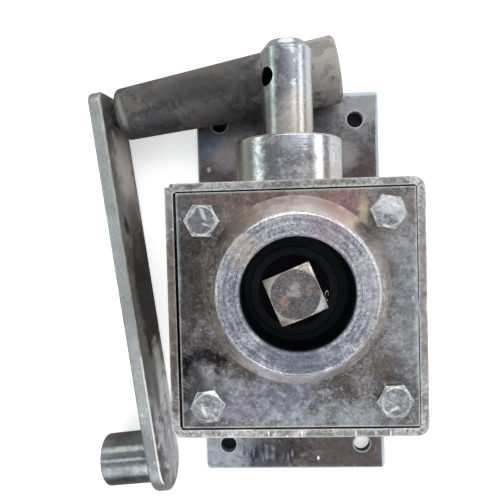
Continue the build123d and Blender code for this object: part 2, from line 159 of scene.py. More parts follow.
def newGroup(name, inputs, outputs):
    group = bpy.data.node_groups.new(name, "ShaderNodeTree")
    for label, value in inputs.items():
        kind = "Float" if isinstance(value, float) else "Vector"
        socket = group.interface.new_socket(label, in_out="INPUT", socket_type="NodeSocket" + kind)
        socket.default_value = value
    for label in outputs:
        group.interface.new_socket(label, in_out="OUTPUT", socket_type="NodeSocketFloat")
    return group, group.nodes.new("NodeGroupInput").outputs, group.nodes.new("NodeGroupOutput").inputs


def useGroup(tree, group, inputs):
    return putNode(tree, "ShaderNodeGroup", inputs, node_tree=group).outputs


# Shared groups, each with its inputs and what they are when nothing is given
zero = (0.0, 0.0, 0.0)


def makeBlotchGroup():
    group, given, made = newGroup(
        "blotches", {"Vector": zero, "Scale": 100.0, "Detail": 5.0, "Low": 0.4, "High": 0.6, "Shift": 0.0},
        ["Mask"])
    grain = noiseNode(group, {"Vector": given["Vector"], "W": given["Shift"], "Distortion": 0.35},
                      given["Scale"], given["Detail"], 0.62, "4D")
    group.links.new(remap(group, grain, given["Low"], given["High"], "SMOOTHSTEP"), made["Mask"])
    return group


def makeEdgeWearGroup():
    # the rounded normal leaves the flat one only near an edge, and a grain breaks the band up
    group, given, made = newGroup("edgeWear", {"Vector": zero, "Radius": 0.001, "Break": 0.5}, ["Mask"])
    rounded = putNode(group, "ShaderNodeBevel", {"Radius": given["Radius"]}, samples=4).outputs[0]
    flat = putNode(group, "ShaderNodeNewGeometry", {}).outputs["True Normal"]
    bent = minus(group, 1.0, vectorNode(group, "DOT_PRODUCT", (rounded, flat), "Value"))
    grain = noiseNode(group, {"Vector": given["Vector"]}, 260.0, 4.0, 0.6)
    kept = minus(group, times(group, bent, 9.0), times(group, grain, given["Break"]))
    group.links.new(remap(group, kept, 0.0, 0.35), made["Mask"])
    return group


def makeSpotGroup():
    # one at the centre, zero beyond the radius, with a ragged border
    group, given, made = newGroup(
        "spot", {"Vector": zero, "Centre": zero, "Stretch": (1.0, 1.0, 1.0), "Turn": 0.0, "Radius": 0.01,
                 "Soft": 0.5, "Ragged": 0.4}, ["Mask"])
    away = vectorNode(group, "SUBTRACT", (given["Vector"], given["Centre"]))
    turned = rotated(group, {"Vector": away, "Angle": given["Turn"]}, "Z_AXIS")
    scaled = vectorNode(group, "MULTIPLY", (turned, given["Stretch"]))
    reach = vectorNode(group, "LENGTH", (scaled,), "Value")
    grain = noiseNode(group, {"Vector": given["Vector"]}, 190.0, 5.0, 0.65)
    wobble = times(group, minus(group, grain, 0.5), times(group, given["Ragged"], 4.0))
    share = plus(group, mathNode(group, "DIVIDE", reach, given["Radius"]), wobble)
    mask = remap(group, share, 1.0, minus(group, 1.0, given["Soft"]), "SMOOTHSTEP")
    group.links.new(mask, made["Mask"])
    return group


def makeScratchGroup():
    group, given, made = newGroup(
        "scratches", {"Vector": zero, "Turn": (0.0, 0.0, 0.5), "Stretch": (60.0, 1500.0, 60.0)}, ["Mask"])
    turned = rotated(group, {"Vector": given["Vector"], "Rotation": given["Turn"]}, "EULER_XYZ")
    drawn = vectorNode(group, "MULTIPLY", (turned, given["Stretch"]))
    lines = noiseNode(group, {"Vector": drawn}, 1.0, 3.0, 0.55)
    group.links.new(remap(group, lines, 0.62, 0.72), made["Mask"])
    return group


def makeLatheGroup():
    # rings about an axis through Centre along local Z, cut by the tool as it fed across the work
    group, given, made = newGroup(
        "latheRings", {"Vector": zero, "Centre": zero, "Turn": zero, "Across": 900.0, "Along": 0.0,
                       "Wander": 0.6}, ["Height"])
    away = vectorNode(group, "SUBTRACT", (given["Vector"], given["Centre"]))
    radius, level = fromAxis(group, rotated(group, {"Vector": away, "Rotation": given["Turn"]}, "EULER_XYZ"))
    ring = plus(group, times(group, radius, given["Across"]), times(group, level, given["Along"]))
    slow = noiseNode(group, {"Vector": given["Vector"]}, 55.0, 2.0, 0.5)
    place = plus(group, ring, times(group, slow, given["Wander"]))
    group.links.new(noiseNode(group, {"W": place}, 1.0, 4.0, 0.75, "1D"), made["Height"])
    return group


def makeZoneGroup():
    # two masks: one rises with the level along Z, the other with the distance from an upright axis
    group, given, made = newGroup(
        "zones", {"Vector": zero, "Centre": zero, "LevelLow": 0.0, "LevelHigh": 0.001, "RadiusLow": 0.0,
                  "RadiusHigh": 0.001}, ["Level", "Radius"])
    radius, level = fromAxis(group, vectorNode(group, "SUBTRACT", (given["Vector"], given["Centre"])))
    for value, name in ((level, "Level"), (radius, "Radius")):
        mask = remap(group, value, given[name + "Low"], given[name + "High"], "SMOOTHSTEP")
        group.links.new(mask, made[name])
    return group


blotchGroup = makeBlotchGroup()
edgeGroup = makeEdgeWearGroup()
spotGroup = makeSpotGroup()
scratchGroup = makeScratchGroup()
latheGroup = makeLatheGroup()
zoneGroup = makeZoneGroup()
print("shared node groups built")


# Parts of materials. A blotch mask is zero under low and full over high, and shift picks another pattern
def newMaterial(name):
    material = bpy.data.materials.new(name)
    material.use_nodes = True
    tree = material.node_tree
    tree.nodes.clear()
    shader = tree.nodes.new("ShaderNodeBsdfPrincipled")
    putNode(tree, "ShaderNodeOutputMaterial", {"Surface": shader.outputs[0]})
    place = tree.nodes.new("ShaderNodeTexCoord").outputs["Object"]
    return material, tree, shader.inputs, place


def blotches(tree, place, scale, low, high, shift=0.0, detail=5.0):
    inputs = {"Vector": place, "Scale": scale, "Low": low, "High": high, "Shift": shift, "Detail": detail}
    return useGroup(tree, blotchGroup, inputs)["Mask"]


def layer(tree, colour, mask, look, name):
    return mixColour(tree, times(tree, mask, look[name + "Share"]), colour, look[name])


def zoneMasks(tree, place, zone):
    inputs = {"Vector": place, "Centre": zone["centre"]}
    for name in ("Level", "Radius"):
        low, high = zone[name.lower()]
        inputs.update({name + "Low": low * mm, name + "High": high * mm})
    masks = useGroup(tree, zoneGroup, inputs)
    return masks["Level"], masks["Radius"]


def wornEdges(tree, place, look):
    inputs = {"Vector": place, "Radius": look["edgeRadius"] * mm, "Break": look.get("edgeBreak", 0.3)}
    return times(tree, useGroup(tree, edgeGroup, inputs)["Mask"], look["edgeShare"])


# small dark and pale specks, set by a scale and a share for each
def speckled(tree, place, colour, look, shift, share=1.0):
    scale, darkShare, paleShare = look["speckle"]
    dark = blotches(tree, place, scale, 0.45, 0.62, shift, 3.0)
    colour = mixColour(tree, times(tree, dark, darkShare * share), colour, look["grime"])
    pale = blotches(tree, place, scale, 0.55, 0.68, shift + 5.0, 3.0)
    return mixColour(tree, times(tree, pale, paleShare * share), colour, look["speck"])


def spot(at, radius, share, colour, stretch=(1.0, 1.0, 0.25), turn=0.0, soft=0.7, ragged=0.35):
    # at and radius in mm, turn in degrees; a stretch over one makes the spot narrower that way
    inputs = {"Centre": Vector(at) * mm, "Radius": radius * mm, "Turn": math.radians(-turn),
              "Stretch": stretch, "Soft": soft, "Ragged": ragged}
    return inputs, share, colour


def addSpots(tree, place, colour, spots):
    for inputs, share, over in spots:
        mask = useGroup(tree, spotGroup, {"Vector": place, **inputs})["Mask"]
        colour = mixColour(tree, times(tree, mask, share), colour, over)
    return colour


def finishSurface(tree, shader, look, colour, grain, height, depth):
    feed(tree, shader["Base Color"], colour)
    feed(tree, shader["Roughness"], between(tree, grain, look["smooth"], look["rough"]))
    inputs = {"Strength": look["bump"], "Distance": depth * mm, "Height": height}
    feed(tree, shader["Normal"], putNode(tree, "ShaderNodeBump", inputs).outputs["Normal"])


# Materials: plated or bare steel, turned steel, and everything plainer
def zincSteel(name, look):
    material, tree, shader, place = newMaterial(name)
    shift = look.get("shift", 0.0)
    patchScale, fineScale = look["patchScale"], look["fineScale"]
    large = blotches(tree, place, patchScale, 0.40, 0.62, shift)
    colour = mixColour(tree, large, look["dark"], look["pale"])
    stain = blotches(tree, place, patchScale * 0.7, 0.50, 0.68, shift + 3.1)
    colour = layer(tree, colour, stain, look, "stain")
    sheen = blotches(tree, place, patchScale * 2.2, 0.48, 0.66, shift + 6.4)
    colour = layer(tree, colour, sheen, look, "sheen")
    fine = blotches(tree, place, fineScale, 0.38, 0.66, shift + 9.7, 6.0)
    colour = layer(tree, colour, fine, look, "grime")
    colour = speckled(tree, place, colour, look, shift + 20.0)
    speck = blotches(tree, place, fineScale * 1.9, 0.66, 0.74, shift + 12.3, 2.0)
    colour = layer(tree, colour, speck, look, "speck")
    colour = addSpots(tree, place, colour, look.get("spots", []))
    colour = speckled(tree, place, colour, look, shift + 33.0, look.get("overSpeckle", 0.3))
    turn, stretch = look.get("scratchTurn", (0.0, 0.0, 0.5)), look.get("scratchStretch", (60.0, 1500.0, 60.0))
    scratch = useGroup(tree, scratchGroup, {"Vector": place, "Turn": turn, "Stretch": stretch})["Mask"]
    scratch = times(tree, scratch, look["scratchShare"])
    colour = mixColour(tree, scratch, colour, look["speck"])
    wear = wornEdges(tree, place, look)
    colour = mixColour(tree, wear, colour, look["edge"])
    colour = addSpots(tree, place, colour, look.get("overSpots", []))
    if "corners" in look:
        corners = look["corners"]
        level, radius = zoneMasks(tree, place, corners)
        worn = addSpots(tree, place, corners["colour"], corners["spots"])
        worn = mixColour(tree, times(tree, fine, corners["grimeShare"]), worn, look["grime"])
        colour = mixColour(tree, times(tree, radius, corners["share"]), colour, worn)
        colour = mixColour(tree, level, corners["shade"], colour)
    bare = between(tree, times(tree, fine, look["grimeShare"]), 1.0, 1.0 - look["dull"])
    bare = times(tree, bare, minus(tree, 1.0, times(tree, wear, look.get("edgeMatte", 0.0))))
    if look.get("matteSpots"):
        bare = times(tree, bare, addSpots(tree, place, (1.0, 1.0, 1.0), look["matteSpots"]))
    feed(tree, shader["Metallic"], bare)
    # pits sink in, specks stand up and scratches cut in
    height = plus(tree, times(tree, fine, -0.6), times(tree, speck, 0.5))
    height = minus(tree, height, times(tree, scratch, 0.8))
    finishSurface(tree, shader, look, colour, fine, height, 0.12)
    return material


def turnedSteel(name, look):
    material, tree, shader, place = newMaterial(name)
    rings = useGroup(tree, latheGroup, {
        "Vector": place, "Centre": look["centre"], "Turn": look["turn"], "Across": look["across"],
        "Along": look["along"], "Wander": look["wander"]})["Height"]
    shift = look["shift"]
    patch = blotches(tree, place, look["patchScale"], 0.42, 0.62, shift)
    colour = mixColour(tree, patch, look["dark"], look["pale"])
    stain = blotches(tree, place, look["patchScale"] * 0.6, 0.50, 0.68, shift + 2.2)
    colour = layer(tree, colour, stain, look, "stain")
    fine = blotches(tree, place, look["fineScale"], 0.42, 0.62, shift + 5.5, 6.0)
    colour = layer(tree, colour, fine, look, "grime")
    colour = layer(tree, colour, remap(tree, rings, 0.42, 0.60), look, "ring")
    colour = speckled(tree, place, colour, look, shift + 20.0)
    colour = addSpots(tree, place, colour, look["spots"])
    if "flank" in look:
        flank = look["flank"]
        level, radius = zoneMasks(tree, place, flank)
        soft = addSpots(tree, place, mixColour(tree, patch, flank["dark"], flank["pale"]), flank["spots"])
        colour = mixColour(tree, level, soft, colour)
        # painted shade: inside the radius the bore wall takes the near-black bore colour
        colour = mixColour(tree, radius, flank["bore"], colour)
    colour = mixColour(tree, wornEdges(tree, place, look), colour, look["edge"])
    matte = look.get("matteSpots", [])
    feed(tree, shader["Metallic"], addSpots(tree, place, (1.0, 1.0, 1.0), matte) if matte else 1.0)
    height = minus(tree, rings, times(tree, fine, look["pitShare"]))
    finishSurface(tree, shader, look, colour, fine, height, 0.1)
    return material


def plainStuff(name, look):
    material, tree, shader, place = newMaterial(name)
    patch = blotches(tree, place, look["patchScale"], 0.38, 0.64, look.get("shift", 0.0))
    colour = mixColour(tree, patch, look["dark"], look["pale"])
    colour = layer(tree, colour, blotches(tree, place, look["dustScale"], 0.50, 0.66, 4.4, 6.0), look, "dust")
    colour = addSpots(tree, place, colour, look.get("spots", []))
    if "edge" in look:
        colour = mixColour(tree, wornEdges(tree, place, look), colour, look["edge"])
    shader["Metallic"].default_value = look["metallic"]
    shader["Specular IOR Level"].default_value = look.get("gleam", 0.5)
    grain = blotches(tree, place, look["grainScale"], 0.35, 0.65, 8.8, 4.0)
    finishSurface(tree, shader, look, colour, patch, grain, 0.15)
    return material


# Modelling helpers
wornEdge = {"segments": 2, "sharpAngle": math.radians(28), "flatAngle": math.radians(0.6), "join": 0.002 * mm}


def mergedMesh(nodeName):
    mesh = bmesh.new()
    mesh.from_mesh(nodes[nodeName].data)
    bmesh.ops.remove_doubles(mesh, verts=mesh.verts, dist=wornEdge["join"])
    bmesh.ops.dissolve_limit(mesh, angle_limit=wornEdge["flatAngle"], verts=mesh.verts, edges=mesh.edges)
    return mesh


def softenEdges(mesh, width):
    limit = wornEdge["sharpAngle"]
    sharp = [edge for edge in mesh.edges if edge.is_manifold and edge.calc_face_angle() > limit]
    bmesh.ops.bevel(mesh, geom=sharp, offset=width * mm, segments=wornEdge["segments"], profile=0.5,
                    affect="EDGES", material=-1, clamp_overlap=True)


def putMesh(mesh, name, material):
    data = bpy.data.meshes.new(name)
    mesh.to_mesh(data)
    mesh.free()
    data.materials.append(material)
    thing = bpy.data.objects.new(name, data)
    bpy.context.scene.collection.objects.link(thing)
    return thing


def makePiece(mesh, name, body, material):
    piece = putMesh(mesh, name, material)
    for polygon in piece.data.polygons:
        polygon.use_smooth = True
    even = piece.modifiers.new("evenNormals", "WEIGHTED_NORMAL")
    even.weight = 60  # large faces stay flat
    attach(piece, body)
    return piece


def dressNode(nodeName, pieceName, material, look):
    mesh = mergedMesh(nodeName)
    softenEdges(mesh, look["edgeWidth"])
    piece = makePiece(mesh, pieceName, bodyOf[nodeName], material)
    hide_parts(nodeName)
    return piece


def coatNode(nodeName, material):
    data = nodes[nodeName].data
    data.materials.clear()
    data.materials.append(material)


# Mounting plate
plateLook = {
    "speckle": (1000.0, 0.35, 0.3),
    "patchScale": 55.0, "fineScale": 380.0,
    "dark": (0.095, 0.085, 0.085), "pale": (0.25, 0.24, 0.25),
    "stain": (0.14, 0.105, 0.085), "stainShare": 0.55,
    "sheen": (0.28, 0.32, 0.38), "sheenShare": 0.45,
    "grime": (0.07, 0.06, 0.056), "grimeShare": 0.42,
    "speck": (0.5, 0.51, 0.53), "speckShare": 0.6, "scratchShare": 0.12,
    "edge": (0.52, 0.6, 0.66), "edgeShare": 0.9, "edgeRadius": 1.8, "edgeBreak": 0.5, "edgeMatte": 0.4,
    "smooth": 0.32, "rough": 0.58, "dull": 0.5, "bump": 0.5, "edgeWidth": 0.7,
    # upright streaks at the foot, made uneven in place, height and width by sines of their number
    "drips": {"count": 16, "start": -29.0, "gap": 1.9, "sway": 0.6, "level": -97.0, "rise": 1.5,
              "radius": 4.0, "swell": 0.35, "share": 0.75,
              "colours": [(0.01, 0.01, 0.014), (0.2, 0.21, 0.25)]},
    "spots": [
        spot((-40, -96, 5), 26, 0.75, (0.33, 0.37, 0.4), (0.8, 1.4, 0.1), ragged=0.6),
        spot((-14, -97, 5), 20, 0.85, (0.04, 0.04, 0.05), (0.9, 1.3, 0.1), ragged=0.5),
        spot((26, -97, 5), 30, 0.75, (0.07, 0.05, 0.046), (0.7, 1.4, 0.1)),
        spot((-1, -95, 5), 11, 0.8, (0.045, 0.034, 0.034), (0.8, 1, 0.1), ragged=0.7),
        spot((13.2, -99.6, 5), 1.3, 0.9, (0.85, 0.86, 0.88), (1.4, 0.8, 0.1), ragged=0.2),
        spot((44, 100, 5), 18, 0.6, (0.38, 0.4, 0.42), (0.7, 1, 0.1)),
        spot((38, 91.5, 5), 8, 0.6, (0.4, 0.41, 0.43), (1, 1, 0.1)),
        spot((44, 68, 5), 15, 0.75, (0.075, 0.052, 0.048)),
        spot((31, 72, 5), 12, 0.6, (0.4, 0.37, 0.38)),
        spot((-43, 80, 5), 11, 0.8, (0.12, 0.17, 0.25)),
        # painted light: this spot and the one two lines down make the plate paler where the grip's shade falls
        spot((-38, 70, 5), 9, 0.5, (0.26, 0.25, 0.26)),
        spot((-41, 60, 5), 13, 0.6, (0.075, 0.06, 0.06)),
        spot((-31, 76, 5), 15, 0.7, (0.36, 0.33, 0.33)),
        # painted highlights: thin pale bluish lines along the plate's right and upper edges (this and the next two
        # spots)
        spot((50.2, 70, 5), 44, 0.8, (0.5, 0.6, 0.68), (30, 1, 0.2), soft=0.4, ragged=0.1),
        spot((38, 105.6, 5), 24, 0.8, (0.5, 0.6, 0.68), (1, 15, 0.2), soft=0.4, ragged=0.1),
        spot((50.2, -92, 5), 26, 0.8, (0.55, 0.64, 0.7), (18, 1, 0.2), soft=0.4, ragged=0.1),
        spot((-44.6, 66.5, 5), 1.6, 0.9, (0.6, 0.45, 0.36), (1, 0.8, 0.1)),
        spot((-39.2, 57.3, 5), 1.8, 0.95, (0.85, 0.74, 0.6), (1, 0.7, 0.1)),
    ],
}
drips = plateLook["drips"]
for step in range(drips["count"]):
    across = drips["start"] + drips["gap"] * (step + drips["sway"] * math.sin(4.1 * step))
    level = drips["level"] + drips["rise"] * math.sin(2.3 * step)
    radius = drips["radius"] * (1.0 + drips["swell"] * math.sin(3.7 * step))
    plateLook["spots"].append(spot((across, level, 5), radius, drips["share"], drips["colours"][step % 2],
                                   (3.0, 0.8, 0.1), soft=0.9, ragged=0.9))
plateSteel = zincSteel("plateSteel", plateLook)
dressNode("mounting_plate", "mountingPlate", plateSteel, plateLook)
print("mounting plate done")


# Housing sleeve
sleeveLook = {
    "speckle": (760.0, 0.6, 0.65),
    "patchScale": 110.0, "fineScale": 420.0, "shift": 2.0,
    "dark": (0.32, 0.31, 0.31), "pale": (0.82, 0.82, 0.81),
    "stain": (0.4, 0.35, 0.32), "stainShare": 0.45,
    "sheen": (0.72, 0.76, 0.79), "sheenShare": 0.5,
    "grime": (0.1, 0.09, 0.085), "grimeShare": 0.55,
    "speck": (0.8, 0.8, 0.79), "speckShare": 0.6, "scratchShare": 0.4,
    "edge": (0.86, 0.85, 0.82), "edgeShare": 0.65, "edgeRadius": 1.3, "edgeBreak": 1.0, "edgeMatte": 0.5,
    "smooth": 0.3, "rough": 0.55, "dull": 0.35, "bump": 0.55, "edgeWidth": 0.45,
    # the hand-cut rim wanders up and down, and the cuts give the walls points enough to follow it
    "rim": {"height": 4.0, "wave": 0.28, "pitch": 60, "low": 0.6, "depth": 1.0, "cuts": 24, "span": 100.0},
    "knock": {"beyond": 45.0, "at": 0.8, "reach": 3.0, "by": -0.5},  # the right wall, pushed inward
    # painted shade: a dark band laid over the worn edges of the left rim
    "overSpots": [spot((-48.6, -2, 105), 46, 0.6, (0.17, 0.13, 0.115), (7, 1, 0.6), ragged=0.5)],
    "spots": [
        # painted shade: this spot and the next darken the left rim
        spot((-48.4, 0, 105), 46, 0.85, (0.17, 0.13, 0.115), (5, 1, 0.6), ragged=0.5),
        spot((-48.4, -24, 105), 20, 0.7, (0.05, 0.042, 0.04), (6, 1, 0.6), ragged=0.6),
        spot((-48.4, 4, 105), 14, 0.6, (0.5, 0.4, 0.33), (6, 1, 0.6), ragged=0.7),
        # painted light: the right rim paler
        spot((48.4, 4, 105), 42, 0.7, (0.44, 0.41, 0.385), (6, 1, 0.6), ragged=0.3),
        spot((-48.4, 42, 105), 10, 0.5, (0.44, 0.43, 0.47), (3, 1, 0.6), ragged=0.6),
        spot((-40, 48.6, 105), 3.4, 0.75, (0.12, 0.13, 0.15), (0.8, 1.6, 1), ragged=0.5),
        spot((20, -49.6, 105), 24, 0.45, (0.16, 0.15, 0.14), (1, 9, 0.6), ragged=0.5),
        spot((-12.1, -48.3, 105), 1.7, 1, (0.95, 0.93, 0.88), (4, 0.8, 1), ragged=0.05),
        spot((0.9, -48.4, 105), 1.7, 1, (0.95, 0.93, 0.88), (4, 0.8, 1), ragged=0.05),
        spot((21.8, -48.6, 105), 1.7, 1, (0.95, 0.93, 0.88), (4, 0.8, 1), ragged=0.05),
        spot((29.4, -48.7, 105), 1.5, 0.8, (0.9, 0.88, 0.84), (5, 0.8, 1), ragged=0.05),
        spot((35.1, -48.7, 105), 1.7, 1, (0.95, 0.93, 0.88), (3.4, 0.8, 1), ragged=0.05),
        spot((-12.1, -50.3, 98), 1.7, 0.5, (0.95, 0.93, 0.88), (4, 0.8, 1)),
    ],
}
sleeveSteel = zincSteel("sleeveSteel", sleeveLook)
wallLook = {
    **sleeveLook,
    "speckle": (900.0, 0.3, 0.25), "patchScale": 38.0, "shift": 23.0,
    "dark": (0.17, 0.16, 0.16), "pale": (0.4, 0.4, 0.41), "sheen": (0.42, 0.47, 0.53), "edgeShare": 0.3,
    "speck": (0.58, 0.59, 0.61), "stain": (0.24, 0.18, 0.15),
    "spots": [
        spot((0, 50, 55), 38, 0.5, (0.3, 0.22, 0.2), (1, 1, 1)),
        # painted light on the right wall near its top, then painted shade on the lower and left walls near the
        # plate
        spot((50, 0, 98), 40, 0.35, (0.48, 0.5, 0.53), (1, 1, 3)),
        spot((0, -50, 12), 42, 0.5, (0.16, 0.13, 0.13), (1, 1, 3)),
        spot((-50, 0, 14), 40, 0.4, (0.15, 0.13, 0.12), (1, 1, 3)),
    ],
}
wallSteel = zincSteel("wallSteel", wallLook)


def makeSleeve(look):
    mesh = mergedMesh("housing_sleeve")
    front = max(vert.co.z for vert in mesh.verts)
    rim, knock = look["rim"], look["knock"]
    for step in range(1, rim["cuts"]):
        for normal in (Vector((1, 0, 0)), Vector((0, 1, 0))):
            point = normal * (step / rim["cuts"] - 0.5) * rim["span"] * mm
            bmesh.ops.bisect_plane(mesh, geom=mesh.verts[:] + mesh.edges[:] + mesh.faces[:], plane_co=point,
                                   plane_no=normal, dist=0.001 * mm)
    softenEdges(mesh, look["edgeWidth"])
    for vert in mesh.verts:
        near = max(0.0, 1.0 - (front - vert.co.z) / (rim["height"] * mm))
        around = Vector((vert.co.x, vert.co.y, 0)) * rim["pitch"]
        vert.co.z += near * rim["wave"] * mm * (noise.noise(around) - rim["low"])
        if vert.co.x > knock["beyond"] * mm:
            share = max(0.0, 1.0 - abs(vert.co.y / mm - knock["at"]) / knock["reach"])
            vert.co.x += near * share * knock["by"] * mm
    piece = makePiece(mesh, "housingSleeve", "housing", sleeveSteel)
    piece.data.materials.append(wallSteel)
    for polygon in piece.data.polygons:
        if abs(polygon.normal.z) < 0.2 and polygon.center.z < front - rim["depth"] * mm:
            polygon.material_index = 1  # the walls under the rim
    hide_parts("housing_sleeve")


makeSleeve(sleeveLook)
print("housing sleeve done")


# Front cover
coverLook = {
    "speckle": (820.0, 0.65, 0.5), "overSpeckle": 0.38,
    "patchScale": 55.0, "fineScale": 330.0, "shift": 5.0,
    "dark": (0.14, 0.125, 0.12), "pale": (0.43, 0.42, 0.42),
    "stain": (0.26, 0.2, 0.17), "stainShare": 0.6,
    "sheen": (0.5, 0.55, 0.62), "sheenShare": 0.5,
    "grime": (0.075, 0.062, 0.055), "grimeShare": 0.65,
    "speck": (0.64, 0.65, 0.68), "speckShare": 0.7, "scratchShare": 0.25,
    "edge": (0.68, 0.72, 0.71), "edgeShare": 0.9, "edgeRadius": 1.3, "edgeBreak": 0.5, "edgeMatte": 0.5,
    "smooth": 0.28, "rough": 0.52, "dull": 0.4, "bump": 0.6, "edgeWidth": 0.35,
    # grease wiped round the lower left bolt, and streaks of heat tint across the foot
    "smear": {"centre": (-36.0, -29.5, 105.0), "reach": 12.0, "from": 62, "to": 196, "steps": 7,
              "radius": 5.2, "share": 0.97, "colour": (0.012, 0.011, 0.013)},
    "swirls": {"count": 15, "start": -27.0, "gap": 2.8, "level": -36.5, "sway": 4.6, "turn": 65.0,
               "radius": 4.2, "share": 0.52,
               "colours": [(0.11, 0.095, 0.15), (0.5, 0.52, 0.6), (0.17, 0.12, 0.11)]},
    "spots": [
        spot((0, 41, 105), 50, 0.45, (0.4, 0.31, 0.28), (0.9, 2.6, 0.2)),
        spot((40, 30, 105), 20, 0.35, (0.5, 0.42, 0.4), (1.6, 0.8, 0.2)),
        spot((20, 41, 105), 9, 0.7, (0.38, 0.2, 0.2), (0.7, 1.2, 0.2)),
        spot((26.5, 36, 105), 9, 0.85, (0.7, 0.6, 0.44), (3.6, 0.8, 0.2)),
        spot((-13, 38.5, 105), 3, 0.7, (0.68, 0.42, 0.24), (0.9, 1.4, 0.2)),
        spot((-37, -29, 105), 9.5, 0.8, (0.4, 0.41, 0.44), ragged=0.6),
        spot((-31.5, -24, 105), 2, 0.9, (0.03, 0.028, 0.03), (1.4, 0.7, 0.2), turn=35, ragged=0.3),
        # painted shadow left of the lower left bolt
        spot((-41, -28, 105), 10, 0.85, (0.035, 0.032, 0.034), (1.6, 0.7, 0.2)),
        # painted shade: the left side of the cover darker
        spot((-43, 12, 105), 28, 0.85, (0.058, 0.045, 0.04), (2.4, 0.7, 0.2)),
        # painted shadow below the lower left bolt (this and the next spot)
        spot((-44, -38, 105), 7, 0.8, (0.03, 0.027, 0.03), (1.6, 0.7, 0.2)),
        spot((-36, -45, 105), 4.6, 0.75, (0.035, 0.03, 0.034), (0.7, 1.5, 0.2)),
        spot((-30, -43, 105), 10, 0.5, (0.16, 0.15, 0.15), (0.6, 1.6, 0.2)),
        spot((-14, -36, 105), 18, 0.6, (0.36, 0.37, 0.45), (0.6, 1.5, 0.2), ragged=0.9),
        spot((-8, -33, 105), 10, 0.6, (0.13, 0.13, 0.18), (0.6, 1.9, 0.2), ragged=0.9),
        spot((12, -42, 105), 16, 0.45, (0.46, 0.54, 0.58), (0.5, 1.8, 0.2), ragged=0.9),
        # painted light: the right side of the cover paler (this and the next spot)
        spot((41, 16, 105), 14, 0.55, (0.48, 0.54, 0.6), (1.4, 0.6, 0.2)),
        spot((43, -12, 105), 16, 0.4, (0.48, 0.52, 0.55), (1.4, 0.6, 0.2)),
        spot((35, 14, 105), 7, 0.7, (0.16, 0.1, 0.085)),
        spot((33, -24, 105), 8, 0.6, (0.14, 0.11, 0.085)),
        spot((-20, 44, 105), 14, 0.55, (0.17, 0.12, 0.1), (0.6, 1.8, 0.2)),
        spot((-43, 44, 105), 7, 0.6, (0.1, 0.09, 0.09), (1, 1, 0.2)),
    ],
    "overSpots": [
        # painted highlights: a pale line along the right edge of the cover and a teal one along its upper left
        # edge
        spot((46.2, -2, 105), 46, 0.55, (0.6, 0.68, 0.7), (24, 1, 0.2), ragged=0.5),
        spot((-45.4, 22, 105), 24, 0.5, (0.34, 0.46, 0.46), (20, 1, 0.2), ragged=0.4),
    ],
}
smear = coverLook["smear"]
for step in range(smear["steps"]):
    angle = math.radians(smear["from"] + (smear["to"] - smear["from"]) * step / (smear["steps"] - 1))
    away = Vector((math.cos(angle), math.sin(angle), 0)) * smear["reach"]
    coverLook["spots"].append(spot(Vector(smear["centre"]) + away, smear["radius"], smear["share"],
                                   smear["colour"], ragged=0.4))
swirls = coverLook["swirls"]
for step in range(swirls["count"]):
    level = swirls["level"] + swirls["sway"] * math.sin(2.1 * step)
    turn = swirls["turn"] * math.sin(1.7 * step)
    coverLook["spots"].append(spot((swirls["start"] + swirls["gap"] * step, level, 105), swirls["radius"],
                                   swirls["share"], swirls["colours"][step % 3], (0.75, 2.6, 0.2), turn=turn,
                                   soft=0.95, ragged=1.0))
coverSteel = zincSteel("coverSteel", coverLook)
dressNode("front_cover", "frontCover", coverSteel, coverLook)
print("front cover done")


# Front collar
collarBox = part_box("front_collar")
collarCentre = Vector(((collarBox[0].x + collarBox[1].x) / 2, (collarBox[0].y + collarBox[1].y) / 2, 0))
collarLook = {
    "centre": collarCentre, "turn": (0.0, 0.0, 0.0), "across": 850.0, "along": 700.0, "wander": 1.3,
    "patchScale": 120.0, "fineScale": 520.0, "shift": 1.0,
    "speckle": (1000.0, 0.65, 0.5), "speck": (0.8, 0.81, 0.84),
    "dark": (0.25, 0.26, 0.31), "pale": (0.62, 0.62, 0.67),
    "stain": (0.48, 0.41, 0.38), "stainShare": 0.4,
    "grime": (0.1, 0.11, 0.15), "grimeShare": 0.55,
    "ring": (0.9, 0.9, 0.94), "ringShare": 0.78,
    "edge": (0.7, 0.71, 0.72), "edgeShare": 0.1, "edgeRadius": 0.5,
    "smooth": 0.3, "rough": 0.5, "bump": 0.45, "pitShare": 0.8, "edgeWidth": 0.35,
    # an arc of bright bluish spots on the lower left of the rim
    "brightArc": {"from": 196, "to": 262, "step": 6, "reach": 31.0, "level": 119.4, "radius": 2.6, "share": 0.85,
               "colour": (0.62, 0.76, 0.84)},
    "flank": {
        "centre": collarCentre, "level": (119.2, 119.7), "radius": (20.9, 21.3),
        # the bore colour is painted shade, the bore wall near black
        "dark": (0.66, 0.61, 0.57), "pale": (0.88, 0.83, 0.79), "bore": (0.01, 0.013, 0.02),
        "spots": [
            spot((-32, 0, 112), 18, 0.22, (0.27, 0.24, 0.215), (1, 0.7, 0.5)),
            spot((10, -28, 112), 16, 0.4, (0.36, 0.37, 0.4), (0.7, 1, 0.5)),
            spot((-28, 28, 108), 16, 0.5, (0.34, 0.275, 0.24), (0.8, 0.8, 0.5)),
            spot((30, 26, 108), 12, 0.4, (0.4, 0.3, 0.31), (0.8, 0.8, 0.5)),
        ],
    },
    "spots": [
        spot((12, 31, 120), 10, 0.55, (0.42, 0.32, 0.37), (1, 1, 0.5)),
        spot((-19, 24, 120), 8, 0.55, (0.74, 0.62, 0.52), (1, 1, 0.5)),
        spot((0, -18, 120), 16, 0.75, (0.15, 0.17, 0.22), (0.7, 1.1, 0.5), ragged=0.8),
        spot((-22, 2, 120), 12, 0.35, (0.18, 0.19, 0.24), (1, 0.7, 0.5), ragged=0.8),
        spot((27, 10, 120), 12, 0.4, (0.78, 0.78, 0.82), (1.4, 0.7, 0.5), ragged=0.8),
    ],
}
brightArc = collarLook["brightArc"]
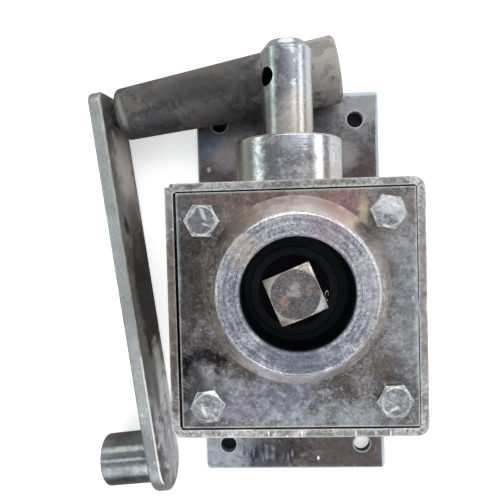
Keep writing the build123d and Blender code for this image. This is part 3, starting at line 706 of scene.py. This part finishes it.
for turn in range(brightArc["from"], brightArc["to"], brightArc["step"]):
    away = Vector((math.cos(math.radians(turn)), math.sin(math.radians(turn)), 0)) * brightArc["reach"]
    place = collarCentre / mm + away + Vector((0, 0, brightArc["level"]))
    collarLook["flank"]["spots"].append(spot(place, brightArc["radius"], brightArc["share"], brightArc["colour"],
                                             (1.0, 1.0, 1.2), ragged=0.2))
collarSteel = turnedSteel("collarSteel", collarLook)
dressNode("front_collar", "frontCollar", collarSteel, collarLook)
print("front collar done")


# Cover bolts
boltLook = {
    "speckle": (1300.0, 0.35, 0.3),
    "patchScale": 260.0, "fineScale": 700.0, "shift": 7.0,
    "dark": (0.2, 0.205, 0.22), "pale": (0.74, 0.78, 0.8),
    "stain": (0.44, 0.4, 0.34), "stainShare": 0.35,
    "sheen": (0.6, 0.66, 0.7), "sheenShare": 0.5,
    "grime": (0.1, 0.105, 0.12), "grimeShare": 0.5,
    "speck": (0.95, 0.97, 0.97), "speckShare": 0.9, "scratchShare": 0.4,
    "edge": (0.95, 0.97, 0.96), "edgeShare": 0.95, "edgeRadius": 1.1, "edgeBreak": 0.6, "edgeMatte": 0.6,
    "spots": [
        spot((-37, 37, 110), 4.6, 0.45, (0.2, 0.2, 0.23), soft=0.25, ragged=0.15),
        spot((-37, -37, 110), 4.6, 0.4, (0.24, 0.25, 0.27), soft=0.25, ragged=0.15),
        spot((37, -37, 110), 4.6, 0.4, (0.24, 0.25, 0.27), soft=0.25, ragged=0.15),
        spot((-42.8, 34, 108), 3, 0.8, (0.42, 0.66, 0.54), ragged=0.2),
        spot((-36, 36, 110), 6, 0.5, (0.22, 0.21, 0.26), ragged=0.7),
        spot((-34.6, 37.6, 110), 3.6, 0.9, (0.92, 0.94, 0.95), (3.6, 0.9, 0.3), turn=24, ragged=0.3),
        spot((-38.6, 38.2, 110), 2.8, 0.9, (0.88, 0.91, 0.9), (3.6, 0.9, 0.3), turn=-38, ragged=0.3),
        spot((-33.6, 33.6, 110), 2, 0.9, (0.95, 0.96, 0.95), (2.6, 0.9, 0.3), turn=70, ragged=0.3),
        spot((-36.6, -37, 110), 3.2, 0.85, (0.9, 0.93, 0.92), (3.2, 0.9, 0.3), turn=18, ragged=0.4),
        spot((35.4, -37.8, 110), 3, 0.8, (0.9, 0.93, 0.93), (3.2, 0.9, 0.3), turn=-60, ragged=0.4),
        spot((38.2, 38.6, 110), 3, 0.8, (0.95, 0.96, 0.95), (3.2, 0.9, 0.3), turn=60, ragged=0.4),
        # painted light: the upper right head paler, and the matte spot below makes it less metallic there
        spot((36, 36.5, 110), 6, 0.7, (0.8, 0.83, 0.84), ragged=0.7),
    ],
    "matteSpots": [spot((37, 37.5, 110), 9, 0.45, (0, 0, 0), ragged=0.5)],
    "smooth": 0.24, "rough": 0.46, "dull": 0.2, "bump": 0.5, "edgeWidth": 0.25,
}
boltZinc = zincSteel("boltZinc", boltLook)
for row in ("upper", "lower"):
    for side in ("left", "right"):
        pieceName = "coverBolt" + row.title() + side.title()
        dressNode("cover_bolt_" + row + "_" + side, pieceName, boltZinc, boltLook)
print("cover bolts done")


# Input boss and input shaft
bossLook = {
    "speckle": (620.0, 0.42, 0.4), "speck": (0.86, 0.88, 0.9),
    "centre": inputAxis, "turn": (math.radians(90), 0.0, 0.0), "across": 0.0, "along": 1100.0, "wander": 0.5,
    "patchScale": 60.0, "fineScale": 420.0, "shift": 3.0,
    "dark": (0.62, 0.625, 0.645), "pale": (0.72, 0.725, 0.74),
    "stain": (0.56, 0.52, 0.47), "stainShare": 0.25,
    "grime": (0.24, 0.24, 0.27), "grimeShare": 0.12,
    "ring": (0.76, 0.77, 0.78), "ringShare": 0.5,
    "edge": (0.9, 0.91, 0.91), "edgeShare": 0.7, "edgeRadius": 0.6,
    "smooth": 0.16, "rough": 0.23, "bump": 0.45, "pitShare": 0.06, "edgeWidth": 0.25,
    "spots": [
        # painted reflections: a dark band down the middle, a pale streak right of it (third spot) and a greenish
        # streak on the left (fourth spot)
        spot((-4, 63, 80), 12, 0.6, (0.12, 0.115, 0.15), (0.9, 0.9, 0.6), ragged=1.2),
        spot((-1, 68, 80), 5, 0.5, (0.72, 0.74, 0.78), (1, 0.9, 0.6), ragged=1.2),
        spot((6, 71, 79), 9, 0.5, (0.8, 0.88, 0.95), (0.7, 1.6, 0.4), ragged=0.8),
        spot((-19, 60, 70), 6, 0.6, (0.42, 0.56, 0.48), (1.4, 0.4, 0.3), ragged=0.1),
        spot((14, 54, 72), 12, 0.45, (0.6, 0.52, 0.45), (0.7, 1.2, 0.4)),
        spot((-24.5, 58, 60), 8, 0.8, (0.54, 0.44, 0.36), (1.3, 0.4, 0.4), ragged=0.1),
    ],
}
bossSteel = turnedSteel("bossSteel", bossLook)
dressNode("input_boss", "inputBoss", bossSteel, bossLook)

shaftLook = {
    **bossLook,
    "shift": 8.0, "patchScale": 45.0, "dark": (0.41, 0.435, 0.47), "pale": (0.53, 0.555, 0.585),
    "edgeWidth": 0.3, "ringShare": 0.25, "bump": 0.14, "smooth": 0.24, "rough": 0.32,
    "spots": [
        # painted reflection: a dark band down the middle of the shaft (this and the next spot)
        spot((-1, 105, 67), 13, 0.85, (0.17, 0.19, 0.21), (1.9, 0.8, 0.3), ragged=1.1),
        spot((-2, 92, 67), 9, 0.5, (0.22, 0.225, 0.24), (1.6, 0.8, 0.3), ragged=1.2),
        # painted highlights: a greenish streak on the left and a pale one on the right
        spot((-9, 100, 64), 14, 0.5, (0.44, 0.58, 0.56), (3, 0.5, 0.3), ragged=0.1),
        spot((9, 101, 62), 15, 0.55, (0.76, 0.84, 0.9), (2.6, 0.6, 0.3)),
        spot((4, 80, 66), 14, 0.6, (0.64, 0.54, 0.46), (1, 0.8, 0.3)),
        spot((-10, 84, 62), 9, 0.5, (0.22, 0.21, 0.2), (1.6, 0.6, 0.4), ragged=0.8),
        # painted highlight on the end chamfer: dark at its sides and bright in the middle
        spot((-0.5, 117.5, 65), 9, 0.85, (0.2, 0.24, 0.28), (0.6, 2.6, 0.5), soft=0.3, ragged=0.1),
        spot((-0.5, 116.5, 65), 4.4, 1, (0.86, 0.92, 0.96), (1, 2, 0.5), soft=0.5, ragged=0.15),
        # painted shade: the walls of the hole across the shaft near black
        spot((inputAxis.x / mm, 101.4, inputAxis.z / mm), 11.6, 0.97, (0.012, 0.014, 0.02),
             (1, 1, 1), soft=0.03, ragged=0),
    ],
    # matte under the painted chamfer highlight so the paint shows
    "matteSpots": [spot((-0.5, 117.5, 65), 9, 0.8, (0, 0, 0), (0.6, 2.6, 0.5), soft=0.3, ragged=0.1)],
}
shaftSteel = turnedSteel("shaftSteel", shaftLook)
dressNode("input_shaft", "inputShaft", shaftSteel, shaftLook)
print("input side done")


# Output shaft with its square end
squareLook = {
    "speckle": (1500.0, 0.5, 0.5),
    "patchScale": 110.0, "fineScale": 620.0, "shift": 11.0,
    "dark": (0.125, 0.115, 0.12), "pale": (0.21, 0.195, 0.2),
    "stain": (0.24, 0.16, 0.12), "stainShare": 0.45,
    "sheen": (0.3, 0.29, 0.32), "sheenShare": 0.3,
    "grime": (0.08, 0.075, 0.078), "grimeShare": 0.5,
    "speck": (0.6, 0.59, 0.58), "speckShare": 0.9, "scratchShare": 0.2,
    "edge": (0.62, 0.58, 0.54), "edgeShare": 0.9, "edgeRadius": 0.5, "edgeBreak": 0.3,
    "smooth": 0.36, "rough": 0.62, "dull": 0.5, "bump": 0.7, "edgeWidth": 0.2,
    "spots": [
        spot((-4.8, 4.4, 116), 2.6, 0.7, (0.42, 0.26, 0.18), (1.3, 0.7, 1)),
        spot((4.4, 9, 116), 2.4, 0.6, (0.4, 0.26, 0.19), (1.4, 0.7, 1)),
        spot((-0.8, 9, 116), 3, 0.35, (0.7, 0.7, 0.7), ragged=1.2),
    ],
    "corners": {
        "centre": (outputAxis.x, outputAxis.y, 0.0), "level": (112.6, 113.6), "radius": (8.9, 9.6),
        "share": 0.95, "grimeShare": 0.45, "colour": (0.52, 0.49, 0.46), "shade": (0.006, 0.006, 0.008),
        "spots": [
            # painted highlight on the right corner (first spot) and painted shade on the lower corner (last spot);
            # the other two are tints
            spot((11.4, 2.4, 115), 6.5, 0.9, (0.74, 0.76, 0.78), ragged=0.3),
            spot((3.9, 18.8, 115), 4.6, 0.8, (0.6, 0.48, 0.4), ragged=0.3),
            spot((-12.4, 11.6, 115), 5, 0.8, (0.46, 0.43, 0.36), ragged=0.3),
            spot((-5, -4.6, 115), 5, 0.85, (0.23, 0.17, 0.145), ragged=0.3),
        ],
    },
}
squareSteel = zincSteel("squareSteel", squareLook)
dressNode("output_shaft", "outputShaft", squareSteel, squareLook)
print("output shaft done")


# Weld seams, burrs and a curl of swarf
weldLook = {
    "speckle": (1100.0, 0.5, 0.4),
    "patchScale": 160.0, "fineScale": 500.0, "shift": 19.0,
    "dark": (0.26, 0.25, 0.25), "pale": (0.62, 0.62, 0.62),
    "stain": (0.36, 0.27, 0.2), "stainShare": 0.5,
    "sheen": (0.6, 0.64, 0.68), "sheenShare": 0.4,
    "grime": (0.1, 0.09, 0.08), "grimeShare": 0.5,
    "speck": (0.8, 0.8, 0.78), "speckShare": 0.6, "scratchShare": 0.0,
    "edge": (0.72, 0.71, 0.68), "edgeShare": 0.3, "edgeRadius": 0.5, "edgeBreak": 0.6,
    "smooth": 0.3, "rough": 0.5, "dull": 0.3, "bump": 0.4,
    # rough is how far noise moves the points, and pitch how fine that noise is
    "bossBead": {"radius": 25.6, "bead": 1.5, "sides": 12, "steps": 144, "ripples": 46, "ripple": 0.16,
                 "rough": 0.25, "pitch": 120},
    "stitches": {"radius": 1.7, "length": 22.0, "sides": 12, "cuts": 60, "ripples": 11, "ripple": 0.18,
                 "rough": 0.3, "pitch": 150, "centres": (-32.0, 0.0, 32.0)},
    "lump": {"rough": 0.45, "pitch": 900, "least": 0.4},
    "swarf": {"centre": (11.3, 6.0, 111.9), "radius": 1.35, "wire": 0.34, "sides": 8, "turn": 250,
              "steps": 36, "rise": 0.02, "squash": (0.5, 1.25, 1.0), "rough": 0.5, "pitch": 420},
}
weldSteel = zincSteel("weldSteel", weldLook)
burrLook = {**weldLook, "dark": (0.52, 0.46, 0.38), "pale": (0.8, 0.76, 0.68), "grimeShare": 0.2,
            "rough": 0.45}
burrSteel = zincSteel("burrSteel", burrLook)
swarfLook = {**weldLook, "dark": (0.46, 0.33, 0.2), "pale": (0.78, 0.66, 0.48), "grimeShare": 0.1,
             "smooth": 0.25, "rough": 0.4}
swarfSteel = zincSteel("swarfSteel", swarfLook)


def makeBossWeld(look):
    mesh = bmesh.new()
    bead = look["bossBead"]
    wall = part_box("housing_sleeve")[1].y
    centre = Vector((inputAxis.x, wall, inputAxis.z))
    place = Matrix.Translation(centre + Vector((bead["radius"] * mm, 0, 0)))
    bmesh.ops.create_circle(mesh, segments=bead["sides"], radius=bead["bead"] * mm, matrix=place)
    bmesh.ops.spin(mesh, geom=mesh.edges[:], cent=centre, axis=(0, 1, 0), angle=2 * math.pi,
                   steps=bead["steps"], use_merge=True)
    for vert in mesh.verts:
        away = vert.co - centre
        angle = math.atan2(away.z, away.x)
        core = centre + Vector((math.cos(angle), 0, math.sin(angle))) * bead["radius"] * mm
        swell = 1 + bead["ripple"] * math.sin(angle * bead["ripples"])
        swell += bead["rough"] * noise.noise(vert.co * bead["pitch"])
        vert.co = core + (vert.co - core) * swell
    bmesh.ops.recalc_face_normals(mesh, faces=mesh.faces)
    makePiece(mesh, "bossWeld", "housing", weldSteel)


def makeStitches(look):
    stitch = look["stitches"]
    low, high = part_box("housing_sleeve")
    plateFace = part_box("mounting_plate")[1].z
    mesh = bmesh.new()
    for wall in (low.y, high.y):
        for centre in stitch["centres"]:
            before = set(mesh.verts)
            place = Matrix.Translation((centre * mm, wall, plateFace))
            place = place @ Matrix.Rotation(math.radians(90), 4, "Y")
            radius, length = stitch["radius"] * mm, stitch["length"] * mm
            bmesh.ops.create_cone(mesh, cap_ends=True, segments=stitch["sides"], radius1=radius,
                                  radius2=radius, depth=length, matrix=place)
            added = [vert for vert in mesh.verts if vert not in before]
            long = {edge for vert in added for edge in vert.link_edges
                    if abs(edge.verts[0].co.x - edge.verts[1].co.x) > 1 * mm}
            bmesh.ops.subdivide_edges(mesh, edges=list(long), cuts=stitch["cuts"])
            for vert in (vert for vert in mesh.verts if vert not in before):
                along = (vert.co.x - centre * mm) / length
                swell = 1 + stitch["ripple"] * math.sin(along * 2 * math.pi * stitch["ripples"])
                swell *= math.sqrt(max(0.02, 1 - (2 * along) ** 4))  # both ends taper off
                swell *= 1 + stitch["rough"] * noise.noise(vert.co * stitch["pitch"])
                vert.co.y = wall + (vert.co.y - wall) * swell
                vert.co.z = plateFace + (vert.co.z - plateFace) * swell
    bmesh.ops.recalc_face_normals(mesh, faces=mesh.faces)
    makePiece(mesh, "sleeveStitches", "housing", weldSteel)


def makeLump(name, body, material, look, parts):
    mesh = bmesh.new()
    for centre, size, turn in parts:
        place = Matrix.Translation(Vector(centre) * mm) @ Matrix.Rotation(math.radians(turn), 4, "Z")
        place = place @ Matrix.Diagonal((*(Vector(size) * mm), 1.0))
        made = bmesh.ops.create_icosphere(mesh, subdivisions=3, radius=1.0, matrix=place)
        small = min(size)
        pitch = look["pitch"] / max(small, look["least"])
        for vert in made["verts"]:
            vert.co += noise.noise_vector(vert.co * pitch) * small * look["rough"] * mm
    makePiece(mesh, name, body, material)


def makeSwarf(look):
    mesh = bmesh.new()
    centre = Vector(look["centre"]) * mm
    place = Matrix.Translation(centre + Vector((look["radius"] * mm, 0, 0)))
    place = place @ Matrix.Rotation(math.radians(90), 4, "X")
    bmesh.ops.create_circle(mesh, cap_ends=True, segments=look["sides"], radius=look["wire"] * mm,
                            matrix=place)
    rise = look["rise"] * mm
    bmesh.ops.spin(mesh, geom=mesh.edges[:] + mesh.faces[:], cent=centre, axis=(0, 0, 1),
                   angle=math.radians(look["turn"]), steps=look["steps"], dvec=(0.0, rise, rise))
    bmesh.ops.remove_doubles(mesh, verts=mesh.verts, dist=0.001 * mm)
    bmesh.ops.scale(mesh, vec=look["squash"], space=Matrix.Translation(-centre), verts=mesh.verts)
    for vert in mesh.verts:
        vert.co += noise.noise_vector(vert.co * look["pitch"]) * look["rough"] * mm
    bmesh.ops.recalc_face_normals(mesh, faces=mesh.faces)
    makePiece(mesh, "squareSwarf", "output_drive", swarfSteel)


makeBossWeld(weldLook)
makeStitches(weldLook)
lumpLook = weldLook["lump"]
makeLump("seamWeld", "housing", weldSteel, lumpLook,
         [((-46.4, 48.2, 102.6), (2.6, 1.9, 2.0), 20), ((-44.2, 47.6, 103.2), (1.7, 0.9, 1.5), 10),
          ((-47.6, 46.8, 103.4), (1.0, 1.6, 1.4), 0)])
makeLump("cornerBurr", "housing", burrSteel, lumpLook,
         [((-47.4, -45.6, 104.3), (0.8, 0.9, 0.6), 30), ((-46.6, -46.4, 104.4), (0.6, 0.5, 0.5), 0)])
makeLump("squareBurrs", "output_drive", burrSteel, lumpLook,
         [((-8.7, 2.2, 114.4), (0.35, 0.3, 0.5), 0), ((-7.9, 0.4, 114.2), (0.3, 0.4, 0.4), 0),
          ((-1.2, -3.3, 114.3), (0.6, 0.25, 0.3), 15), ((1.9, -2.3, 114.2), (0.4, 0.25, 0.3), 20),
          ((5.4, -0.6, 114.3), (0.5, 0.3, 0.3), 20), ((7.9, 8.2, 113.8), (0.3, 0.5, 0.3), 0),
          ((-9.8, 10.6, 114.6), (0.3, 0.35, 0.3), 0), ((6.6, 13.6, 114.0), (0.3, 0.4, 0.3), 0)])
makeSwarf(weldLook["swarf"])
print("welds and burrs done")


# Crank arm, socket, spindle and washers
armLook = {
    "speckle": (900.0, 0.25, 0.15),
    "patchScale": 40.0, "fineScale": 300.0, "shift": 14.0,
    "dark": (0.44, 0.46, 0.46), "pale": (0.56, 0.605, 0.605),
    "stain": (0.42, 0.42, 0.4), "stainShare": 0.3,
    "sheen": (0.58, 0.65, 0.66), "sheenShare": 0.4,
    "grime": (0.2, 0.2, 0.2), "grimeShare": 0.3,
    "speck": (0.6, 0.63, 0.63), "speckShare": 0.4, "scratchShare": 0.25,
    "scratchTurn": (0.0, 0.0, -0.12), "scratchStretch": (1500.0, 40.0, 400.0),
    "edge": (0.3, 0.31, 0.28), "edgeShare": 0.6, "edgeRadius": 0.9, "edgeBreak": 0.5, "edgeMatte": 0.5,
    "smooth": 0.4, "rough": 0.55, "dull": 0.3, "bump": 0.3, "edgeWidth": 0.55,
    "spots": [
        spot((-84, 4, 12), 46, 0.95, (0.062, 0.06, 0.064), (1, 1, 2.4), soft=0.35, ragged=0.12),
        spot((-84.2, 21, 14), 7, 0.6, (0.2, 0.16, 0.14), (1, 0.8, 0.8)),
        spot((-87, 35.4, 27), 4.5, 0.9, (0.018, 0.017, 0.02), (1, 0.6, 1)),
        spot((-82.9, 10, 18), 7, 0.7, (0.03, 0.028, 0.03), (1, 0.8, 0.8)),
        spot((-77.9, -30, 21), 5.5, 0.95, (0.012, 0.012, 0.014), (1, 0.5, 1.2), ragged=0.25),
        spot((-79, -24, 14), 16, 0.6, (0.085, 0.08, 0.085), (1, 0.9, 0.9)),
        # painted light: a near-white matte patch on the upper broad face, where the grip shades it
        spot((-91, 72, 16), 30, 0.8, (1, 0.93, 0.86), (1, 0.9, 1.6), ragged=0.3),
        spot((-87, 40, 14), 12, 0.7, (0.3, 0.26, 0.24), (1, 0.7, 1)),
        spot((-85.5, 20, 30), 8, 0.7, (0.2, 0.16, 0.14), (1, 0.6, 1.2)),
        spot((-74, -92, 37), 36, 0.85, (0.2, 0.225, 0.24), (1, 1, 2.6), soft=0.6, ragged=0.2),
        spot((-72, -72, 12), 34, 0.95, (0.98, 0.97, 1), (1, 0.9, 1.5), soft=0.5, ragged=0.5),
        spot((-76, -42, 12), 9, 0.9, (1, 1, 1), (1, 0.5, 1.2), ragged=0.6),
        spot((-73, -60, 21), 13, 0.7, (0.24, 0.23, 0.24), (1, 0.5, 2.6), turn=8, ragged=0.5),
        spot((-71, -76, 9), 14, 0.6, (0.3, 0.29, 0.3), (1, 0.5, 3), ragged=0.5),
        spot((-74, -56, 22), 8, 0.5, (0.1, 0.095, 0.1), (1, 0.5, 1), ragged=0.9),
        spot((-71, -82, 16), 9, 0.5, (0.14, 0.13, 0.135), (1, 0.4, 1.2), ragged=0.9),
        # painted shade of a small hole near the foot, with a painted glint on its rim (next spot)
        spot((-70.4, -96.2, 26.6), 3, 0.95, (0.03, 0.033, 0.04), (1, 1, 1), ragged=0.1),
        spot((-70.2, -97.2, 26), 1.4, 0.9, (0.9, 0.92, 0.95), (1, 1, 1), ragged=0.1),
    ],
    "matteSpots": [
        spot((-71, -74, 12), 38, 0.95, (0, 0, 0), (1, 0.9, 1.3), ragged=0.4),
        # the upper one keeps the painted light patch matte
        spot((-91, 72, 16), 28, 0.5, (0, 0, 0), (1, 0.9, 1.6), ragged=0.4),
    ],
}
armSteel = zincSteel("armSteel", armLook)
armEdgeHighlightLook = {
    "patchScale": 90.0, "dustScale": 400.0, "grainScale": 600.0, "shift": 2.0,
    "dark": (0.3, 0.3, 0.24), "pale": (0.46, 0.47, 0.4), "dust": (0.2, 0.19, 0.17), "dustShare": 0.4,
    "smooth": 0.4, "rough": 0.6, "metallic": 0.0, "bump": 0.3,
    "facing": (0.63, 0.0795, 0.7727), "limit": 0.9,  # which faces of the arm take this painted highlight: the bevel strips that face up and to the right
    # painted highlight, near white toward the foot of the arm
    "spots": [spot((-75, -72, 35), 42, 1, (1, 0.97, 0.88), (1, 1, 1), soft=0.12, ragged=0.05)],
}
armEdgeHighlight = plainStuff("armEdgeHighlight", armEdgeHighlightLook)


def makeArm(look, litFaces):
    piece = dressNode("crank_arm", "crankArm", armSteel, look)
    piece.data.materials.append(armEdgeHighlight)
    for polygon in piece.data.polygons:
        # faces turned up and to the right take the painted highlight
        if polygon.normal.dot(Vector(litFaces["facing"])) > litFaces["limit"]:
            polygon.material_index = 1


makeArm(armLook, armEdgeHighlightLook)
socketLook = {
    **armLook,
    "dark": (0.24, 0.27, 0.295), "pale": (0.38, 0.42, 0.44), "sheen": (0.5, 0.55, 0.57), "shift": 17.0,
    "grime": (0.1, 0.105, 0.115), "grimeShare": 0.25, "speckle": (900.0, 0.15, 0.12),
    "edge": (0.16, 0.17, 0.18), "edgeMatte": 0.0, "edgeWidth": 0.3,
    "smooth": 0.24, "rough": 0.36, "bump": 0.15, "matteSpots": [],
    # painted highlights: pale streaks along the socket, each row giving level, depth, radius and share
    "streaks": [(-84.9, 26.8, 2.2, 0.6), (-89.9, 29.5, 1.1, 0.95)],
    "spots": [
        # painted shade: the socket darker on its lower side (this and the next spot)
        spot((-92, -98, 23), 9, 0.85, (0.075, 0.085, 0.095), (0.3, 1, 1), ragged=0.15),
        spot((-92, -105, 17), 13, 0.9, (0.055, 0.065, 0.075), (0.4, 1, 0.4), ragged=0.15),
        spot((-95, -82, 14), 7, 0.6, (0.09, 0.095, 0.105), (0.4, 1, 0.5), ragged=0.2),
        spot((-82, -94, 26), 6, 0.5, (0.08, 0.085, 0.095), (1.6, 0.4, 0.5), ragged=0.3),
    ],
}
# each painted highlight streak is a row of long spots along the socket's axis
for level, depth, radius, share in socketLook["streaks"]:
    for along in (-11, -6.5, -2, 2.5, 7):
        socketLook["spots"].append(spot((-90.7 + along, level + 0.126 * along, depth + 0.098 * along),
                                        radius, share, (0.8, 0.85, 0.86), (0.17, 1.0, 1.0), ragged=0.1))
socketSteel = zincSteel("socketSteel", socketLook)
dressNode("crank_socket", "crankSocket", socketSteel, socketLook)
print("crank arm done")


# Crank grip
gripLook = {
    "patchScale": 60.0, "dustScale": 520.0, "grainScale": 650.0, "edgeWidth": 0.3,
    "dark": (0.02, 0.02, 0.023), "pale": (0.04, 0.039, 0.041),
    "dust": (0.16, 0.15, 0.14), "dustShare": 0.28,
    "edge": (0.26, 0.25, 0.24), "edgeShare": 0.7, "edgeRadius": 2.0,
    "smooth": 0.42, "rough": 0.6, "metallic": 0.0, "bump": 0.6,
    "spots": [
        spot((16, 118, 24), 34, 0.88, (0.41, 0.38, 0.355), (1, 0.7, 0.3), ragged=0.5),
        spot((8, 112, 30), 5, 0.6, (0.1, 0.09, 0.085), (1, 1, 0.3), ragged=1.2),
        spot((16, 121, 30), 7, 0.5, (0.13, 0.12, 0.11), (0.8, 1.4, 0.3), ragged=1.3),
        spot((21, 112, 28), 6, 0.5, (0.11, 0.1, 0.09), (1.4, 0.8, 0.3), ragged=1.2),
        spot((-35, 118, 26), 48, 0.5, (0.15, 0.14, 0.13), (0.8, 5, 0.8), turn=12, ragged=0.3),
        # painted highlight along the rounded lip at the arm end of the grip
        spot((-86.5, 96, 34), 12, 0.7, (0.36, 0.35, 0.34), (6, 0.8, 0.6), turn=14, soft=0.9,
             ragged=0.15),
        spot((-84, 98, 30), 11, 0.5, (0.15, 0.14, 0.13), ragged=0.9),
        spot((-38, 92, 32), 16, 0.45, (0.14, 0.13, 0.12), (0.6, 1.5, 0.4), ragged=0.9),
        spot((-60, 108, 26), 24, 0.35, (0.13, 0.12, 0.115), (0.5, 2, 0.6), ragged=0.9),
        spot((-45, 105, 36), 14, 0.7, (0.012, 0.012, 0.014), (0.6, 1.6, 0.6), ragged=0.5),
    ],
}
gripPlastic = plainStuff("gripPlastic", gripLook)
dressNode("crank_grip", "crankGrip", gripPlastic, gripLook)
print("crank grip done")


# Pieces inside the housing and the bearing seen down the bore
innerLook = {
    "patchScale": 150.0, "dustScale": 500.0, "grainScale": 700.0,
    "dark": (0.16, 0.155, 0.15), "pale": (0.34, 0.34, 0.345),
    "dust": (0.1, 0.085, 0.06), "dustShare": 0.6,
    "smooth": 0.25, "rough": 0.5, "metallic": 0.9, "bump": 0.3,
}
gearSteel = plainStuff("gearSteel", innerLook)
rubberLook = {
    "patchScale": 150.0, "dustScale": 500.0, "grainScale": 900.0,
    "dark": (0.003, 0.005, 0.009), "pale": (0.005, 0.008, 0.013),
    "dust": (0.01, 0.012, 0.015), "dustShare": 0.3,
    "smooth": 0.45, "rough": 0.6, "metallic": 0.0, "bump": 0.2, "gleam": 0.2,
}
sealRubber = plainStuff("sealRubber", rubberLook)
# painted shade: near-black steel for the bearing seen down the bore and for the grip's washers in the gap by the
# arm
shadeBlackLook = {
    **innerLook,
    "dark": (0.004, 0.006, 0.01), "pale": (0.008, 0.011, 0.017), "dust": (0.009, 0.01, 0.013),
    "metallic": 0.1, "gleam": 0.25,
}
shadeBlackSteel = plainStuff("shadeBlackSteel", shadeBlackLook)
bronzeLook = {**innerLook, "dark": (0.36, 0.22, 0.09), "pale": (0.58, 0.4, 0.18), "metallic": 1.0}
bushBronze = plainStuff("bushBronze", bronzeLook)
innerCoats = {
    "gear_steel": gearSteel, "spring_steel": gearSteel, "bearing_steel": shadeBlackSteel,
    "seal_rubber": sealRubber, "bush_bronze": bushBronze, "sleeve_steel": sleeveSteel,
}
for nodeName, slotName in slotOf.items():
    if slotName in innerCoats and nodeName != "housing_sleeve":
        coatNode(nodeName, innerCoats[slotName])
# painted shade: the washers in the gap between arm and grip near black
for nodeName in ("grip_inner_washer", "grip_end_washer"):
    coatNode(nodeName, shadeBlackSteel)
# painted shade: the spindle darkened in the gap between arm and grip
spindleLook = {**innerLook, "dark": (0.035, 0.035, 0.04), "pale": (0.09, 0.09, 0.095), "metallic": 0.5}
coatNode("grip_spindle", plainStuff("spindleSteel", spindleLook))
print("inner pieces coated")


# Floor, world and lamps
stageLook = {
    "floorColour": (0.95, 0.95, 0.95), "floorGlow": (0.42, 0.42, 0.42), "floorSize": 3.0,
    "floorDrop": 0.2 * mm,
    # what shiny faces mirror of the floor, from left to right
    "mirroredLeft": (0.36, 0.32, 0.29), "mirroredRight": (0.8, 0.8, 0.8), "mirroredWidth": 0.12,
    # dark floor under the plate, seen through its wall holes
    "shades": [((0.0, 0.01), (0.05, 0.095)), ((-0.038, -0.0915), (0.012, 0.012))],
    "shadeColour": (0.012, 0.012, 0.014), "shadeFade": 0.002,
    "overhead": (0.46, 0.47, 0.49), "horizon": (0.34, 0.33, 0.32), "riseLow": 0.45, "riseHigh": 0.9,
    "seenWorld": (0.95, 0.95, 0.95),
    "aim": (0.0, 0.03, 0.06),
    "lamps": [  # name, place, size, power and colour
        ("rightSoftbox", (0.82, 0.12, 0.45), (1.0, 0.3), 1.7, (0.93, 0.98, 1.0)),
        ("leftSoftbox", (-0.82, 0.12, 0.41), (1.0, 0.26), 1.2, (0.84, 1.0, 0.93)),
        ("upperSoftbox", (0.2, 0.9, 0.95), (1.6, 1.0), 12.0, (1.0, 0.99, 0.97)),
        ("lowerSoftbox", (-0.1, -0.95, 0.85), (1.6, 1.0), 11.0, (0.97, 0.98, 1.0)),
    ],
}


def makeFloor(look):
    material, tree, shader, place = newMaterial("paleFloor")
    path = tree.nodes.new("ShaderNodeLightPath").outputs
    parts = putNode(tree, "ShaderNodeSeparateXYZ", {0: place}).outputs
    side = remap(tree, parts[0], -look["mirroredWidth"], look["mirroredWidth"], "SMOOTHSTEP")
    mirrored = mixColour(tree, side, look["mirroredLeft"], look["mirroredRight"])
    fade = look["shadeFade"]
    beside = 1.0
    for centre, reach in look["shades"]:
        clear = 0.0
        for axis in (0, 1):
            across = mathNode(tree, "ABSOLUTE", minus(tree, parts[axis], centre[axis]))
            rise = remap(tree, minus(tree, across, reach[axis] - fade), 0.0, fade)
            clear = mathNode(tree, "MAXIMUM", rise, clear)
        beside = mathNode(tree, "MINIMUM", clear, beside)
    shaded = mixColour(tree, beside, look["shadeColour"], look["floorColour"])
    feed(tree, shader["Base Color"], mixColour(tree, path["Is Glossy Ray"], shaded, mirrored))
    seen = times(tree, path["Is Camera Ray"], beside)
    feed(tree, shader["Emission Color"], mixColour(tree, seen, zero, look["floorGlow"]))
    shader["Emission Strength"].default_value = 1.0
    shader["Roughness"].default_value = 0.9
    mesh = bmesh.new()
    bmesh.ops.create_grid(mesh, x_segments=1, y_segments=1, size=look["floorSize"])
    floor = putMesh(mesh, "paleFloor", material)
    floor.location.z = -look["floorDrop"]


def makeWorld(look):
    world = bpy.data.worlds.new("softRoom")
    world.use_nodes = True
    tree = world.node_tree
    tree.nodes.clear()
    direction = tree.nodes.new("ShaderNodeTexCoord").outputs["Generated"]
    parts = putNode(tree, "ShaderNodeSeparateXYZ", {0: direction}).outputs
    lift = remap(tree, parts[2], look["riseLow"], look["riseHigh"], "SMOOTHSTEP")
    colour = mixColour(tree, lift, look["horizon"], look["overhead"])
    path = tree.nodes.new("ShaderNodeLightPath").outputs
    colour = mixColour(tree, path["Is Camera Ray"], colour, look["seenWorld"])
    light = putNode(tree, "ShaderNodeBackground", {"Color": colour, "Strength": 1.0})
    putNode(tree, "ShaderNodeOutputWorld", {"Surface": light.outputs[0]})
    bpy.context.scene.world = world


def makeLamps(look):
    for name, place, size, power, colour in look["lamps"]:
        data = bpy.data.lights.new(name, "AREA")
        data.shape = "RECTANGLE"
        data.size, data.size_y = size
        data.energy = power
        data.color = colour
        lamp = bpy.data.objects.new(name, data)
        lamp.location = place
        lamp.rotation_euler = (Vector(look["aim"]) - Vector(place)).to_track_quat("-Z", "Y").to_euler()
        bpy.context.scene.collection.objects.link(lamp)


makeFloor(stageLook)
makeWorld(stageLook)
makeLamps(stageLook)
bpy.context.scene.view_settings.view_transform = "Standard"
print("stage and lamps done")
